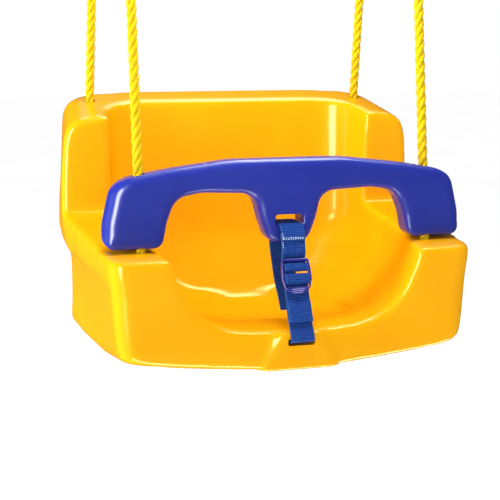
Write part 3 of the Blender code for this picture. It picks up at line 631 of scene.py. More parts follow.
def rope_line(side):
    """Centre line from the front knot's tail, over the ring, to the back knot's."""
    x = side * ROPE_X
    clamped = (CLAMP_LOW, CLAMP_TOP - 13, CLAMP_TOP)
    bend = RING_WIRE_D / 2 + ROPE_D / 2 + 0.5

    # up from the front knot, through the seat and the T-bar
    knot_x, knot_y = FRONT_KNOT
    path = knot(side * knot_x, knot_y)
    path += [Vector((side * knot_x, knot_y, z)) for z in (30.0, 44.0)]
    path.append(Vector((side * (knot_x + 4.0), knot_y + 1.0, 80.0)))
    path += [on_front_leg(side, z) for z in (124.0, 150.0, 230.0, 400.0, 600.0, 800.0, 960.0)]
    # through the sleeve, over the ring's wire and back
    path += [Vector((x, -CLAMPED_Y, z)) for z in clamped]
    for k in range(13):
        angle = math.pi - math.pi * k / 12
        path.append(Vector((x, bend * math.cos(angle), RING_Z + bend * math.sin(angle))))
    path += [Vector((x, CLAMPED_Y, z)) for z in reversed(clamped)]
    # down to the hole in the back rim and inside the wall to the back knot
    hole_x, hole_y, hole_z = BACK_HOLE
    top, hole = Vector((x, CLAMPED_Y, CLAMP_LOW)), Vector((side * hole_x, hole_y, hole_z))
    path += [top.lerp(hole, part) for part in (0.06, 0.25, 0.5, 0.75, 0.95)]
    knot_x, knot_y = BACK_KNOT
    path += [Vector((side * hole_x, hole_y + 1.5, hole_z - 8.0)),
             Vector((side * (hole_x - 0.7), hole_y + 2.5, hole_z - 30.0)),
             Vector((side * (knot_x + 8.0), knot_y + 8.0, 150.0)),
             Vector((side * (knot_x + 1.0), knot_y + 1.5, 70.0))]
    path += [Vector((side * knot_x, knot_y, z)) for z in (44.0, 30.0)]
    path += list(reversed(knot(side * knot_x, knot_y)))
    return path


def carried_frame(line):
    """Two unit normals at each point of a line, carried along without twisting."""
    tangent = unit_rows(np.gradient(line, axis=0))
    first = np.zeros_like(line)
    start = np.cross(tangent[0], (0.3, 0.9, 0.2))
    first[0] = start / np.linalg.norm(start)
    for i in range(1, len(line)):
        normal = first[i - 1] - tangent[i] * (first[i - 1] @ tangent[i])
        first[i] = normal / np.linalg.norm(normal)
    return first, np.cross(tangent, first)


def build_rope(side, name):
    """Three strands laid round the centre line; UVs are turn and millimetres."""
    line, dist = smooth_path(rope_line(side), 2.2)
    first, second = carried_frame(line)
    strand = ROPE_D / (1 + 2 / math.sqrt(3)) / 2
    offset = ROPE_D / 2 - strand
    # the strands narrow over the last 3 mm at each end
    taper = np.clip(np.minimum(dist, dist[-1] - dist) / 3.0, 0.0, 1.0) ** 0.5 * 0.35 + 0.65
    sides = 18
    around = [(j / sides, (j + 1) / sides) for j in range(sides)]
    verts, faces, uvs = [], [], []
    for k in range(3):
        turn = 2 * math.pi * (k / 3 + dist / ROPE_LAY)
        # away from the rope's axis
        out = first * np.cos(turn)[:, None] + second * np.sin(turn)[:, None]
        centre = line + out * offset
        along = unit_rows(np.gradient(centre, axis=0))
        radial = unit_rows(out - along * np.sum(out * along, axis=1)[:, None])
        across = np.cross(along, radial)
        strips = []
        for j in range(sides):
            angle = 2 * math.pi * j / sides
            squash = 1.12 if abs(math.sin(angle)) > 0.6 else 1.0
            radius = strand * (1.04 + 0.06 * squash) * taper
            spoke = radial * math.cos(angle) + across * math.sin(angle) * 1.08
            strips.append(centre + spoke * radius[:, None])
        verts.append(np.stack(strips, 1).reshape(-1, 3))
        faces += sweep_faces(len(line), sides, k * len(line) * sides)
        uvs += wall_uvs(around, dist)
        uvs += [(0.5, 0.0)] * sides + [(0.5, dist[-1])] * sides
    return from_arrays(name, np.vstack(verts), faces, uvs)


# ---------------------------------------------------------------- belt frame
# The belt line runs down the front in the plane x = 0. Places on it are a distance
# down from the lock's origin and a distance outward, to the front.
BELT_DOWN = (BELT_LOW - BELT_TOP).normalized()
BELT_OUT = Vector((BELT_DOWN.y, -BELT_DOWN.x))
BELT_ORIGIN = BELT_TOP + BELT_DOWN * ((BELT_TOP.y - LOCK_Z) / -BELT_DOWN.y)


def belt_point(down, out):
    """y, z of a place in the belt's frame."""
    point = BELT_ORIGIN + BELT_DOWN * down + BELT_OUT * out
    return (point.x, point.y)


def onto_belt(shape):
    """Move a shape drawn as (x, outward, down) to its place on the belt."""
    for vert in shape.verts:
        x, out, down = vert.co
        vert.co = (x, *belt_point(down, out))
    return shape


# ---------------------------------------------------------------- belt
def build_webbing(names, path, phase=0.0, wave=0.0, cuts=()):
    """Narrow woven tape: crosswise ribs, rounded selvedges, UVs in millimetres.

    The path is (y, z). The tape comes as one length for each name, and these meet
    at the distances in cuts. phase shifts the ribs, wave lifts the selvedges.
    """
    line, dist = smooth_path(path, WEB_STEP)
    tangent = unit_rows(np.gradient(line, axis=0))
    normal = np.stack([-tangent[:, 1], tangent[:, 0]], 1)
    half_width, half_thick = WEB_W / 2, WEB_T / 2
    # from selvedge to selvedge on one face, then back along the other
    section = WEB_PROFILE + [(across, -thick) for across, thick in reversed(WEB_PROFILE)]
    turn = 2 * math.pi * (dist + phase) / RIB_PITCH
    rib = np.abs(np.cos(turn / 2)) ** 0.8
    edge_rib = np.abs(np.sin(turn / 2)) ** 0.8
    sway = 0.14 * np.sin(2 * math.pi * dist / 41.0 + phase)
    sides = len(section)
    verts = np.zeros((len(line), sides, 3))
    for j, (across, thick) in enumerate(section):
        inner = abs(across) < 0.93
        lift = half_thick * abs(thick) * (0.74 + 0.26 * (rib if inner else edge_rib))
        bow = wave * np.sin(2 * math.pi * dist / 37.0) * (across * across)
        rise = lift * (1.0 if thick > 0 else -1.0) + bow
        swell = 1.0 + (0.0 if inner else 0.008 * edge_rib)
        verts[:, j, 0] = across * half_width * swell + sway
        verts[:, j, 1] = line[:, 0] + normal[:, 0] * rise
        verts[:, j, 2] = line[:, 1] + normal[:, 1] * rise
    places = [across * half_width for across, _ in section]
    around = list(zip(places, places[1:] + places[:1]))
    marks = [0] + [int(np.argmin(abs(dist - cut))) for cut in cuts] + [len(line) - 1]
    pieces = []
    for name, low, high in zip(names, marks, marks[1:]):
        along = dist[low:high + 1] + phase
        uvs = wall_uvs(around, along)
        uvs += [(x, along[0]) for x in reversed(places)]
        uvs += [(x, along[-1]) for x in places]
        piece = from_arrays(name, verts[low:high + 1].reshape(-1, 3),
                            sweep_faces(high - low + 1, sides), uvs)
        shape = bmesh.new()
        shape.from_mesh(piece.data)
        face_outward(shape)
        shape.to_mesh(piece.data)
        shape.free()
        pieces.append(shade(piece))
    return pieces


def path_length(path, place):
    """Distance along a smoothed path to its nearest point to a place."""
    line, dist = smooth_path(path, WEB_STEP)
    return float(dist[np.argmin(np.linalg.norm(line - np.array(place), axis=1))])


def build_slot_strap():
    """From the sewn flap back through the T-bar's slot and down behind the bar."""
    path = [belt_point(-27.6, FLAP_OUT), belt_point(-36.0, FLAP_OUT)]
    path += [(TBAR_FRONT_Y - 5.5, 144.2), (TBAR_FRONT_Y - 2.2, 146.2),
             (TBAR_FRONT_Y + 4, 146.9), (TBAR_BACK_Y - 0.8, 146.9),
             (TBAR_BACK_Y + 2.0, 145.8), (TBAR_BACK_Y + 3.0, 142.0),
             (TBAR_BACK_Y + 1.8, 122.0), (TBAR_BACK_Y - 7.0, 101.0),
             (TBAR_BACK_Y - 22.0, 78.0), (TBAR_BACK_Y - 38.5, 58.5)]
    return build_webbing(["slot_strap_webbing"], path, wave=0.15)


def build_buckle_loop():
    """The sewn loop that holds the lock by its top bar."""
    # distance down the belt, distance outward
    stations = [
        (-36.0, LOOP_FRONT_OUT), (-20.0, LOOP_FRONT_OUT), (-17.0, 1.0), (-14.0, -0.6),
        (-11.5, -2.6), (-9.5, -3.3), (-7.0, -3.3), (-5.3, -3.0), (-4.3, -1.9),
        (-4.0, -0.4), (-4.0, 0.4), (-3.7, 1.9), (-2.7, 3.0), (-1.0, 3.3), (0.8, 3.3),
        (2.5, 2.95), (3.2, 1.7), (3.3, 0.0), (3.2, -1.7), (2.3, -3.4), (0.4, -4.8),
        (-4.0, -5.4), (-9.5, -5.4), (-13.0, -4.6), (-17.5, -1.7), (-20.0, LOOP_BACK_OUT),
        (-36.0, LOOP_BACK_OUT)]
    return build_webbing(["buckle_loop_webbing"], [belt_point(*s) for s in stations], phase=0.9)


def build_lower_strap():
    """Round the anchor bar, out of the seat's slot and up through the lock."""
    bar = 11.4                                # the lock's middle bar, down the belt
    load_out = -(LOCK_GAP + WEB_T + 0.4)      # the load side runs behind the tail
    threading = belt_point(bar - 4.8, -1.0)
    path = [(-126.5, 26.2)]
    path += arc((ANCHOR_Y, ANCHOR_Z), ANCHOR_R + 0.3 + WEB_T / 2, 215, 450, 10)
    path += [(-127.0, 31.6), (-150.0, BELT_SLOT_Z), (-161.0, BELT_SLOT_Z + 0.2),
             (-164.6, BELT_SLOT_Z + 3.5)]
    path += [belt_point(55.0, load_out * 0.7), belt_point(34.4, load_out),
             belt_point(12.4, load_out), belt_point(bar - 4.4, load_out + 1.5),
             threading, belt_point(bar - 4.6, 1.6)]
    path += [belt_point(*place) for place in arc((bar - 2.0, 0.0), LOCK_GAP, 128, 90, 3)]
    path += [belt_point(bar + 2.6, LOCK_GAP), belt_point(16.0, LOCK_GAP - 1.4),
             belt_point(17.0, -1.6), belt_point(19.0, -LOCK_GAP),
             belt_point(31.4, -LOCK_GAP), belt_point(38.4, 0.4), belt_point(56.0, 2.0)]
    # the part below, the part up to the lock, and the part threaded through it
    return build_webbing(["lower_strap_root", "lower_strap_load", "lower_strap_tail"], path,
                         cuts=[path_length(path, belt_point(46.0, load_out * 0.85)),
                               path_length(path, threading)])


def stitches(name, runs, normal):
    """Short thread stitches; each run is (start, end, stitch length)."""
    verts, faces = [], []
    sides, rings = 8, 7
    normal = Vector(normal).normalized()
    for start, end, length in runs:
        start = Vector(start)
        along = Vector(end) - start
        total = along.length
        along.normalize()
        side = along.cross(normal)
        pitch = length + STITCH_GAP
        for k in range(int(total // pitch)):
            faces += sweep_faces(rings, sides, len(verts))
            origin = start + along * (k * pitch)
            for i in range(rings):
                part = i / (rings - 1)
                arch = math.sin(math.pi * part)
                if 0 < part < 1:
                    radius = STITCH_R * (0.35 + 0.65 * arch ** 0.5)
                else:
                    radius = STITCH_R * 0.3
                centre = origin + along * (length * part) + normal * (0.28 * arch - 0.12)
                for angle in circle_angles(sides):
                    verts.append(centre + side * (radius * math.cos(angle))
                                 + normal * (radius * math.sin(angle)))
    return from_arrays(name, verts, faces)


def build_flap_stitching():
    """Pale thread: two rows across the flap's end, and runs down one selvedge."""
    def at(x, down, out):
        return (x, *belt_point(down, out + WEB_T / 2 + 0.02))

    runs = [(at(-11.2, down, FLAP_OUT), at(11.4, down, FLAP_OUT), 1.7)
            for down in (-29.0, -30.4)]
    for low, high, out in ((-35.5, -28.0, FLAP_OUT), (-26.8, -17.6, LOOP_FRONT_OUT)):
        runs.append((at(-11.4, low, out), at(-11.4, high, out), 1.6))
    return stitches("flap_stitching_thread", runs, (0.0, BELT_OUT.x, BELT_OUT.y))


def build_lock():
    """Ladder lock: side rails, a top bar, a loop bar, a middle bar, a lifting tab."""
    x, down, radius = LOCK_HALF[0]
    outline = drop_repeats(fillet_outline(
        [(-x, down, radius)] + LOCK_HALF + [LOCK_TIP]
        + [(-x, down, radius) for x, down, radius in reversed(LOCK_HALF[1:])], 8), 0.25)
    half = LOCK_T / 2
    levels = edge_rounding(1.2, 1.2, 4)

    def kick(down):
        """The tab bends out from the belt, so that a finger can lift it."""
        return 0.04 * max(0.0, down - 20.0) ** 1.5

    def rim(inset, out):
        return [(p.x, out + kick(p.y), p.y) for p in inset_outline(outline, inset)]

    rings = [rim(inset, depth - half) for inset, depth in levels]
    rings += [rim(inset, half - depth) for inset, depth in reversed(levels)]
    lock = from_bmesh("ladder_lock_moulding", onto_belt(loft(rings)))
    for low, high in LOCK_WINDOWS:
        window = slot_outline(12.9, low, high, radius=1.0, steps=4)
        combine(lock, onto_belt(prism(window, "XZ", -12.0, 12.0)))
    # three grip ridges across the tab
    for k in range(3):
        down = 23.0 + 1.9 * k
        out = half + 0.1 + kick(down)
        ridge = tube([(-7.5 + 1.5 * k, out, down), (7.5 - 1.5 * k, out, down)], 0.5, 12)
        combine(lock, onto_belt(ridge), "UNION")
    round_edges(lock, LOCK_VOXEL, LOCK_PASSES)
    freeze(lock, "ladder_lock_moulding")
    return shade(lock)


# ---------------------------------------------------------------- hardware
def build_washer(name, side, spot):
    x, y = spot
    rings = [[(side * x + radius * math.cos(angle), y + radius * math.sin(angle),
               WASHER_Z + height) for radius, height in WASHER_SECTION]
             for angle in circle_angles(64)]
    return shade(from_bmesh(name, loft(rings, closed=True)), sharp_angle=50)


def build_ring(name, side):
    """A welded ring: round wire with a slight bead where its ends meet."""
    centre = Vector((side * ROPE_X, 0.0, RING_Z + RING_R))
    weld = math.radians(38)
    rings = []
    for angle in circle_angles(96):
        gap = math.atan2(math.sin(angle - weld), math.cos(angle - weld))
        bead = 0.22 * math.exp(-(gap / 0.07) ** 2) + 0.03 * math.sin(9 * angle)
        radius = RING_WIRE_D / 2 + bead
        out = Vector((math.cos(angle), 0.0, math.sin(angle)))
        rings.append([centre + out * (RING_R + radius * math.cos(turn))
                      + Vector((0, radius * math.sin(turn), 0))
                      for turn in circle_angles(24)])
    return shade(from_bmesh(name, loft(rings, closed=True)))


def build_clamp(name, side):
    """A pressed sleeve: an oval tube, rolled at its ends, with two crimp dents."""
    bore = ROPE_D / 2 + 0.35
    low, high = CLAMP_LOW + 1.0, CLAMP_TOP - 1.0

    def oval(radius, z, pinch=0.0):
        ring = []
        for angle in circle_angles(72):
            across, deep = math.sin(angle), math.cos(angle)
            y = deep * radius + (CLAMPED_Y if deep >= 0 else -CLAMPED_Y)
            waist = pinch * math.exp(-(y / 7.0) ** 2)
            ring.append((side * ROPE_X + across * (radius - waist), y, z))
        return ring

    rings = [oval(bore, low)]
    steps = 30
    for k in range(steps + 1):
        part = k / steps
        lip = CLAMP_WALL - 0.7 * (1 - min(1.0, min(part, 1 - part) * 14)) ** 2
        dent = 0.75 * (math.exp(-((part - 0.3) / 0.09) ** 2)
                       + math.exp(-((part - 0.7) / 0.09) ** 2))
        rings.append(oval(bore + lip, low + (high - low) * part, dent))
    rings.append(oval(bore, high))
    return shade(from_bmesh(name, loft(rings, closed=True)), sharp_angle=50)


def build_anchor_bar(name):
    """The bar across the belt pocket, with chamfered ends."""
    half = [(25.0, ANCHOR_R), (25.7, ANCHOR_R - 0.35), (26.0, ANCHOR_R - 1.0)]
    stations = [(-x, radius) for x, radius in reversed(half)] + half
    path = [(x, ANCHOR_Y, ANCHOR_Z) for x, _ in stations]
    bar = tube(path, [radius for _, radius in stations], 32)
    return shade(from_bmesh(name, bar), sharp_angle=40)


# ---------------------------------------------------------------- materials
BLACK, WHITE = (0.0, 0.0, 0.0), (1.0, 1.0, 1.0)


class Nodes:
    """A short way to write node trees."""

    def __init__(self, name, colour):
        self.material = bpy.data.materials.new(name)
        self.material.use_nodes = True
        self.tree = self.material.node_tree
        self.bsdf = self.tree.nodes["Principled BSDF"]
        self.material.diffuse_color = (*colour, 1.0)

    def add(self, kind):
        return self.tree.nodes.new(kind)

    def feed(self, socket, value):
        """Give a socket a number, a colour or another node's output."""
        if isinstance(value, (int, float)):
            socket.default_value = value
        elif isinstance(value, tuple):
            socket.default_value = (*value, 1.0)
        else:
            self.tree.links.new(value, socket)

    def surface(self, name, value):
        self.feed(self.bsdf.inputs[name], value)

    def coords(self, scale=(1, 1, 1)):
        source = self.add("ShaderNodeTexCoord")
        mapping = self.add("ShaderNodeMapping")
        mapping.inputs["Scale"].default_value = scale
        self.feed(mapping.inputs["Vector"], source.outputs["Object"])
        return mapping.outputs["Vector"]

    def uv(self):
        """The two coordinates of the UV map."""
        source = self.add("ShaderNodeUVMap")
        source.uv_map = "UVMap"
        split = self.add("ShaderNodeSeparateXYZ")
        self.feed(split.inputs[0], source.outputs["UV"])
        return split.outputs["X"], split.outputs["Y"]

    def noise(self, vector, scale, detail=3.0, rough=0.5):
        node = self.add("ShaderNodeTexNoise")
        self.feed(node.inputs["Scale"], scale)
        self.feed(node.inputs["Detail"], detail)
        self.feed(node.inputs["Roughness"], rough)
        self.feed(node.inputs["Vector"], vector)
        return node.outputs["Fac"]

    def pointiness(self):
        return self.add("ShaderNodeNewGeometry").outputs["Pointiness"]

    def ramp(self, value, stops):
        """Colours at positions from 0 to 1: stops are (position, colour)."""
        node = self.add("ShaderNodeValToRGB")
        elements = node.color_ramp.elements
        while len(elements) < len(stops):
            elements.new(0.5)
        for element, (position, colour) in zip(elements, stops):
            element.position = position
            element.color = (*colour, 1.0)
        self.feed(node.inputs["Fac"], value)
        return node.outputs["Color"]

    def math(self, operation, first, second=None, clamp=False):
        node = self.add("ShaderNodeMath")
        node.operation = operation
        node.use_clamp = clamp
        self.feed(node.inputs[0], first)
        if second is not None:
            self.feed(node.inputs[1], second)
        return node.outputs[0]

    def mix(self, factor, first, second):
        node = self.add("ShaderNodeMix")
        node.data_type = "RGBA"
        # inputs 6 and 7 are the two colours
        for index, value in ((0, factor), (6, first), (7, second)):
            self.feed(node.inputs[index], value)
        return node.outputs[2]

    def bump(self, height, strength, distance, below=None):
        node = self.add("ShaderNodeBump")
        self.feed(node.inputs["Strength"], strength)
        self.feed(node.inputs["Distance"], distance)
        self.feed(node.inputs["Height"], height)
        if below is not None:
            self.feed(node.inputs["Normal"], below)
        return node.outputs["Normal"]


def moulded_plastic(name, colour, dark, light, rough, specular, peel=0.05,
                    tint=WHITE, edge_wear_and_sheen=0.22):
    """Moulded plastic: soft gloss, faint orange peel, cloudiness, scuffs; on the lock the
    scuffs also paint a highlight along the edges.
    """
    mat = Nodes(name, colour)
    co = mat.coords()
    cloud = mat.noise(co, scale=9.0, detail=4.0, rough=0.55)
    orange_peel = mat.noise(co, scale=420.0, detail=2.0)
    base = mat.ramp(cloud, [(0.30, dark), (0.52, colour), (0.75, light)])
    # thin scuffs where the moulding's edges are rubbed; on the lock, whose light colour is a
    # paler purple, they also paint a purple highlight along the edges
    edge = mat.ramp(mat.pointiness(), [(0.53, BLACK), (0.62, WHITE)])
    scratch = mat.noise(mat.coords(scale=(1.0, 1.0, 7.0)), scale=95.0, detail=6.0, rough=0.7)
    edge_tone = mat.math("MULTIPLY", edge, mat.ramp(scratch, [(0.52, BLACK), (0.70, WHITE)]))
    edge_tone = mat.math("MULTIPLY", edge_tone, edge_wear_and_sheen)
    mat.surface("Base Color", mat.mix(edge_tone, base, light))
    # roughness varies by a tenth, and scuffs are duller
    smears = mat.noise(co, scale=38.0, detail=5.0, rough=0.6)
    dull = mat.math("ADD", mat.math("MULTIPLY", smears, 0.10), rough - 0.05)
    dull = mat.math("ADD", dull, mat.math("MULTIPLY", edge_tone, 0.5), clamp=True)
    mat.surface("Roughness", dull)
    normal = mat.bump(orange_peel, strength=peel, distance=0.0004)
    waviness = mat.noise(co, scale=24.0, detail=2.0)
    mat.surface("Normal", mat.bump(waviness, strength=0.12, distance=0.0012, below=normal))
    # no highlights within reflections
    path = mat.add("ShaderNodeLightPath")
    direct = mat.math("SUBTRACT", 1.0, path.outputs["Is Glossy Ray"])
    mat.surface("Specular IOR Level", mat.math("MULTIPLY", direct, specular))
    mat.surface("Specular Tint", tint)
    return mat.material


def rope_fibre(name):
    """Laid rope: fine slanting yarns, with painted shade between them and a faint painted
    highlight on their crests.
    """
    mat = Nodes(name, (0.939, 0.686, 0.007))
    turn, along = mat.uv()
    # yarns run against the strand's lay: eleven round it, slanting along it
    phase = mat.math("ADD", mat.math("MULTIPLY", turn, 11.0),
                     mat.math("MULTIPLY", along, -0.085))
    yarn = mat.math("ABSOLUTE", mat.math("SINE", mat.math("MULTIPLY", phase, math.pi)))
    fuzz = mat.noise(mat.coords(scale=(1, 1, 0.25)), scale=900.0, detail=4.0, rough=0.7)
    height = mat.math("ADD", mat.math("POWER", yarn, 0.6), mat.math("MULTIPLY", fuzz, 0.35))
    tone = mat.noise(mat.coords(), scale=60.0)
    base = mat.ramp(tone, [(0.3, (0.72, 0.44, 0.002)), (0.55, (0.78, 0.52, 0.003)),
                           (0.8, (0.84, 0.60, 0.008))])
    # painted shade: the yarn colour darkens in the grooves between the yarns and lightens on
    # their crests
    deep = mat.ramp(yarn, [(0.0, (0.45, 0.25, 0.001)), (0.35, (0.74, 0.48, 0.003)),
                           (1.0, (0.86, 0.62, 0.006))])
    mat.surface("Base Color", mat.mix(0.55, base, deep))
    mat.surface("Roughness", 0.48)
    mat.surface("Specular IOR Level", 0.18)
    mat.surface("Specular Tint", (1.0, 0.9, 0.35))
    mat.surface("Sheen Weight", 0.04)
    mat.surface("Sheen Tint", (1.0, 0.9, 0.4))
    mat.surface("Normal", mat.bump(height, strength=0.55, distance=0.0004))
    return mat.material


def woven_tape(name):
    """Ribbed belt webbing: crosswise ribs, warp threads, painted shade in the rib troughs and
    painted highlight dashes along the selvedges.
    """
    warp_pitch = 0.85
    mat = Nodes(name, (0.012, 0.070, 0.362))
    x, along = mat.uv()
    rib = mat.math("COSINE", mat.math("MULTIPLY", along, 2 * math.pi / RIB_PITCH))
    warp = mat.math("SINE", mat.math("MULTIPLY", x, 2 * math.pi / warp_pitch))
    weft = mat.math("SINE", mat.math("MULTIPLY", along, math.pi / RIB_PITCH))
    weave = mat.math("MULTIPLY", warp, weft)
    ribs = mat.math("ADD", mat.math("MULTIPLY", rib, 0.5), 0.5)      # from 0 to 1
    fuzz = mat.noise(mat.coords(), scale=1400.0, detail=4.0, rough=0.65)
    mottle = mat.noise(mat.coords(), scale=260.0, rough=0.6)
    # painted shade: the face colour darkens in the troughs between the ribs
    rib_shaded_face = mat.ramp(ribs, [(0.0, (0.002, 0.008, 0.075)), (0.45, (0.006, 0.033, 0.250)),
                           (1.0, (0.012, 0.082, 0.400))])
    pale = mat.ramp(mottle, [(0.45, BLACK), (0.72, WHITE)])
    rib_shaded_face = mat.mix(mat.math("MULTIPLY", pale, 0.30), rib_shaded_face, (0.022, 0.130, 0.380))
    # painted highlight: paler blue dashes on the rib crests along both selvedges
    edge = mat.ramp(mat.math("DIVIDE", mat.math("ABSOLUTE", x), WEB_W / 2),
                    [(0.90, BLACK), (0.965, WHITE)])
    selvedge_highlight = mat.math("MULTIPLY", edge, mat.math("MULTIPLY", ribs, 0.55))
    mat.surface("Base Color", mat.mix(selvedge_highlight, rib_shaded_face, (0.045, 0.200, 0.480)))
    mat.surface("Roughness", 0.62)
    mat.surface("Specular IOR Level", 0.10)
    mat.surface("Sheen Weight", 0.04)
    mat.surface("Sheen Roughness", 0.4)
    mat.surface("Sheen Tint", (0.35, 0.6, 1.0))
    # relative heights of the weave, the ribs and the fuzz
    height = mat.math("ADD", mat.math("MULTIPLY", weave, 0.45),
                      mat.math("MULTIPLY", ribs, 0.8))
    height = mat.math("ADD", height, mat.math("MULTIPLY", fuzz, 0.35))
    mat.surface("Normal", mat.bump(height, strength=0.6, distance=0.00025))
    return mat.material


def thread(name):
    """Pale sewing thread."""
    mat = Nodes(name, (0.62, 0.72, 0.90))
    co = mat.coords()
    mat.surface("Base Color", mat.ramp(mat.noise(co, scale=900.0, detail=2.0),
                                       [(0.35, (0.40, 0.55, 0.80)),
                                        (0.65, (0.80, 0.88, 0.98))]))
    mat.surface("Roughness", 0.5)
    mat.surface("Sheen Weight", 0.3)
    mat.surface("Normal", mat.bump(mat.noise(co, scale=2600.0), strength=0.4, distance=0.0001))
    return mat.material


def zinc(name):
    """Galvanised steel: soft spangle, fine scratches, darker in the hollows."""
    mat = Nodes(name, (0.62, 0.63, 0.64))
    co = mat.coords()
    spangle = mat.add("ShaderNodeTexVoronoi")
    mat.feed(spangle.inputs["Scale"], 480.0)
    mat.feed(spangle.inputs["Vector"], co)
    tone = mat.ramp(spangle.outputs["Distance"],
                    [(0.0, (0.52, 0.53, 0.55)), (0.6, (0.72, 0.73, 0.74))])
    edge_tone = mat.ramp(mat.pointiness(), [(0.46, (0.45, 0.45, 0.46)), (0.56, (0.85, 0.85, 0.86))])
    mat.surface("Base Color", mat.mix(0.5, tone, edge_tone))
    mat.surface("Metallic", 1.0)
    # roughness from 0.18 to 0.46
    dull = mat.noise(co, scale=300.0, detail=5.0, rough=0.7)
    mat.surface("Roughness", mat.math("ADD", mat.math("MULTIPLY", dull, 0.28), 0.18))
    scratch = mat.noise(mat.coords(scale=(1, 1, 12)), scale=350.0, detail=6.0, rough=0.75)
    mat.surface("Normal", mat.bump(scratch, strength=0.15, distance=0.0002))
    return mat.material


YELLOW = moulded_plastic("yellow_moulding", colour=(0.950, 0.420, 0.003),
                         dark=(0.930, 0.395, 0.002), light=(0.970, 0.450, 0.005),
                         rough=0.17, specular=0.50, tint=(1.0, 0.93, 0.42))
BLUE = moulded_plastic("blue_moulding", colour=(0.018, 0.032, 0.325),
                       dark=(0.016, 0.028, 0.300), light=(0.022, 0.038, 0.350),
                       rough=0.26, specular=0.45, peel=0.04, edge_wear_and_sheen=0.04)
# the paler purple light colour, blended in at the rubbed edges, paints a purple highlight along
# the lock's edges
LOCK_BLUE = moulded_plastic("lock_moulding", colour=(0.013, 0.018, 0.215),
                            dark=(0.010, 0.013, 0.180), light=(0.045, 0.045, 0.380),
                            rough=0.24, specular=0.5, peel=0.08)
ROPE = rope_fibre("rope_yarn")
WEB = woven_tape("belt_webbing")
THREAD = thread("stitch_thread")
ZINC = zinc("zinc_plate")


# ---------------------------------------------------------------- build
def give(obj, material):
    obj.data.materials.clear()
    obj.data.materials.append(material)


def fit(obj, material, frame, part):
    """Finish a rigid piece that moves with a frame and replaces a CAD part."""
    give(obj, material)
    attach(obj, frame)
    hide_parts(part)


def fit_between(obj, part):
    """Finish a length of webbing that is attached to no frame: give it the webbing, hide its
    CAD part and bake its placement.
    """

    give(obj, WEB)
    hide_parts(part)
    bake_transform(obj)


fit(build_seat(), YELLOW, "seat", "seat_shell")
fit(build_tbar(), BLUE, "t_bar", "t_bar")

[slot_strap] = build_slot_strap()
[buckle_loop] = build_buckle_loop()
strap_root, strap_load, strap_tail = build_lower_strap()
fit(slot_strap, WEB, "t_bar", "slot_strap")
fit_between(buckle_loop, "buckle_loop_web")
fit_between(strap_root, "lower_strap")
fit_between(strap_load, "lower_strap")
fit_between(strap_tail, "lower_strap")

fit(build_flap_stitching(), THREAD, "t_bar", "flap_stitching")
fit(build_lock(), LOCK_BLUE, "lock", "ladder_lock")

for side, tag in ((-1, "left"), (1, "right")):
    fit(build_rope(side, "rope_laid_" + tag), ROPE, "seat", "rope_" + tag)
    fit(build_ring("steel_ring_" + tag, side), ZINC, "hanger", "ring_" + tag)
    fit(build_clamp("sleeve_" + tag, side), ZINC, "seat", "rope_clamp_" + tag)
    for where, spot in (("front", FRONT_KNOT), ("back", BACK_KNOT)):
        fit(build_washer("plate_%s_%s" % (where, tag), side, spot), ZINC,
            "seat", "washer_%s_%s" % (where, tag))
fit(build_anchor_bar("anchor_bar"), ZINC, "seat", "belt_anchor_bar")


# ---------------------------------------------------------------- studio, in metres
FLOOR_HALF, FLOOR_Z = 14.0, -0.42
WORLD_SEEN = 1.0             # what the camera sees behind everything
WORLD_LIGHT = 0.35           # what the surroundings give to matt surfaces
WORLD_SHINE = 0.04           # what they show in gloss
CENTRE = (0.0, 0.0, 0.15)
# name, place, target, (width, height), watts
# soft, even light for the matt part of the surfaces
FILLS = [
    ("front_fill", (-0.72, -2.35, 0.62), CENTRE, (0.7, 0.7), 9.0),
    ("left_fill", (-2.05, -0.16, 0.30), CENTRE, (1.0, 1.0), 51.0),
    ("top_fill", (0.10, -0.30, 1.90), CENTRE, (1.2, 0.9), 4.0),
    ("bucket_fill", (-0.02, -0.17, 0.82), (0.0, 0.03, 0.08), (0.34, 0.30), 4.8),
]
# boxes for the highlights along the mouldings' edges
HIGHLIGHTS = [
    ("left_box", (-1.08, -1.52, 0.36), CENTRE, (0.62, 1.30), 71.0),
    ("overhead_box", (0.42, 0.14, 1.55), CENTRE, (1.2, 0.48), 27.0),
    ("rear_box", (0.40, 1.05, 1.50), CENTRE, (1.5, 1.0), 9.0),
    ("below_strip", (0.10, -0.25, -0.40), CENTRE, (1.0, 0.12), 6.0),
]
AZIMUTH, ELEVATION = math.radians(16.62), math.radians(9.78)
EYE = (-0.403587, -1.326975, 0.338612)
SENSOR_MM, LENS_MM = 36.0, 90.0


def build_floor():
    mat = Nodes("pale_floor", (0.93, 0.93, 0.93))
    tone = mat.ramp(mat.noise(mat.coords(), scale=3.0),
                    [(0.3, (0.90, 0.90, 0.90)), (0.7, (0.94, 0.94, 0.94))])
    mat.surface("Base Color", tone)
    mat.surface("Emission Color", tone)
    mat.surface("Emission Strength", 0.72)
    mat.surface("Roughness", 0.9)
    mat.surface("Specular IOR Level", 0.0)
    mesh = bpy.data.meshes.new("floor")
    corners = [(-1, -1), (1, -1), (1, 1), (-1, 1)]
    mesh.from_pydata([(x * FLOOR_HALF, y * FLOOR_HALF, FLOOR_Z) for x, y in corners],
                     [], [(0, 1, 2, 3)])
    floor = link(bpy.data.objects.new("floor", mesh))
    mesh.materials.append(mat.material)
    floor.visible_glossy = False


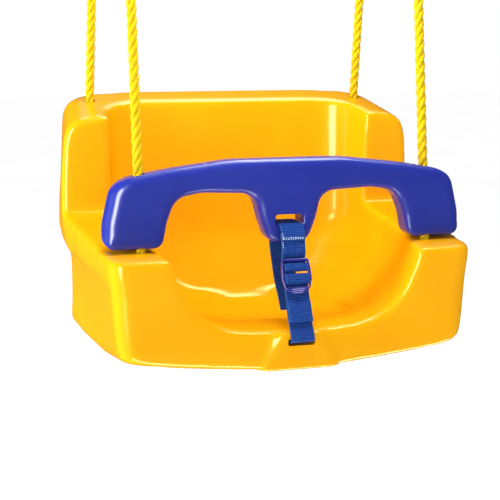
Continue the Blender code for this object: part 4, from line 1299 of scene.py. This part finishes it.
def build_world():
    """White surroundings, with a strength each for camera, matt and glossy rays."""
    world = bpy.data.worlds.new("studio")
    bpy.context.scene.world = world
    world.use_nodes = True
    nodes, links = world.node_tree.nodes, world.node_tree.links
    nodes.clear()
    out = nodes.new("ShaderNodeOutputWorld")
    path = nodes.new("ShaderNodeLightPath")
    seen, lit, shine = (nodes.new("ShaderNodeBackground") for _ in range(3))
    for node, strength in ((seen, WORLD_SEEN), (lit, WORLD_LIGHT), (shine, WORLD_SHINE)):
        node.inputs["Color"].default_value = (1, 1, 1, 1)
        node.inputs["Strength"].default_value = strength
    by_gloss, by_camera = (nodes.new("ShaderNodeMixShader") for _ in range(2))
    for mixer, ray, other, chosen in ((by_gloss, "Is Glossy Ray", lit, shine),
                                      (by_camera, "Is Camera Ray", by_gloss, seen)):
        links.new(path.outputs[ray], mixer.inputs[0])
        links.new(other.outputs[0], mixer.inputs[1])
        links.new(chosen.outputs[0], mixer.inputs[2])
    links.new(by_camera.outputs[0], out.inputs[0])


def softbox(name, place, target, size, power, glossy):
    """An area light that either shows in gloss or lights matt surfaces."""
    light = bpy.data.lights.new(name, "AREA")
    light.shape = "RECTANGLE"
    light.size, light.size_y = size
    light.energy = power
    box = link(bpy.data.objects.new(name, light))
    box.location = place
    aim = Vector(target) - Vector(place)
    box.rotation_euler = aim.to_track_quat("-Z", "Y").to_euler()
    box.visible_camera = False
    box.visible_glossy = glossy
    box.visible_diffuse = not glossy


def build_camera():
    back = Vector((-math.sin(AZIMUTH) * math.cos(ELEVATION),
                   -math.cos(AZIMUTH) * math.cos(ELEVATION), math.sin(ELEVATION)))
    right = Vector((math.cos(AZIMUTH), -math.sin(AZIMUTH), 0.0))
    up = back.cross(right)
    lens = bpy.data.cameras.new("camera")
    lens.sensor_width = SENSOR_MM
    lens.lens = LENS_MM
    lens.clip_end = 60.0
    camera = link(bpy.data.objects.new("camera", lens))
    columns = zip(right, up, back, Vector(EYE))
    camera.matrix_world = Matrix((*columns, (0, 0, 0, 1)))
    bpy.context.scene.camera = camera


build_floor()
build_world()
for row in FILLS:
    softbox(*row, glossy=False)
for row in HIGHLIGHTS:
    softbox(*row, glossy=True)
build_camera()
bpy.context.scene.view_settings.view_transform = "Standard"
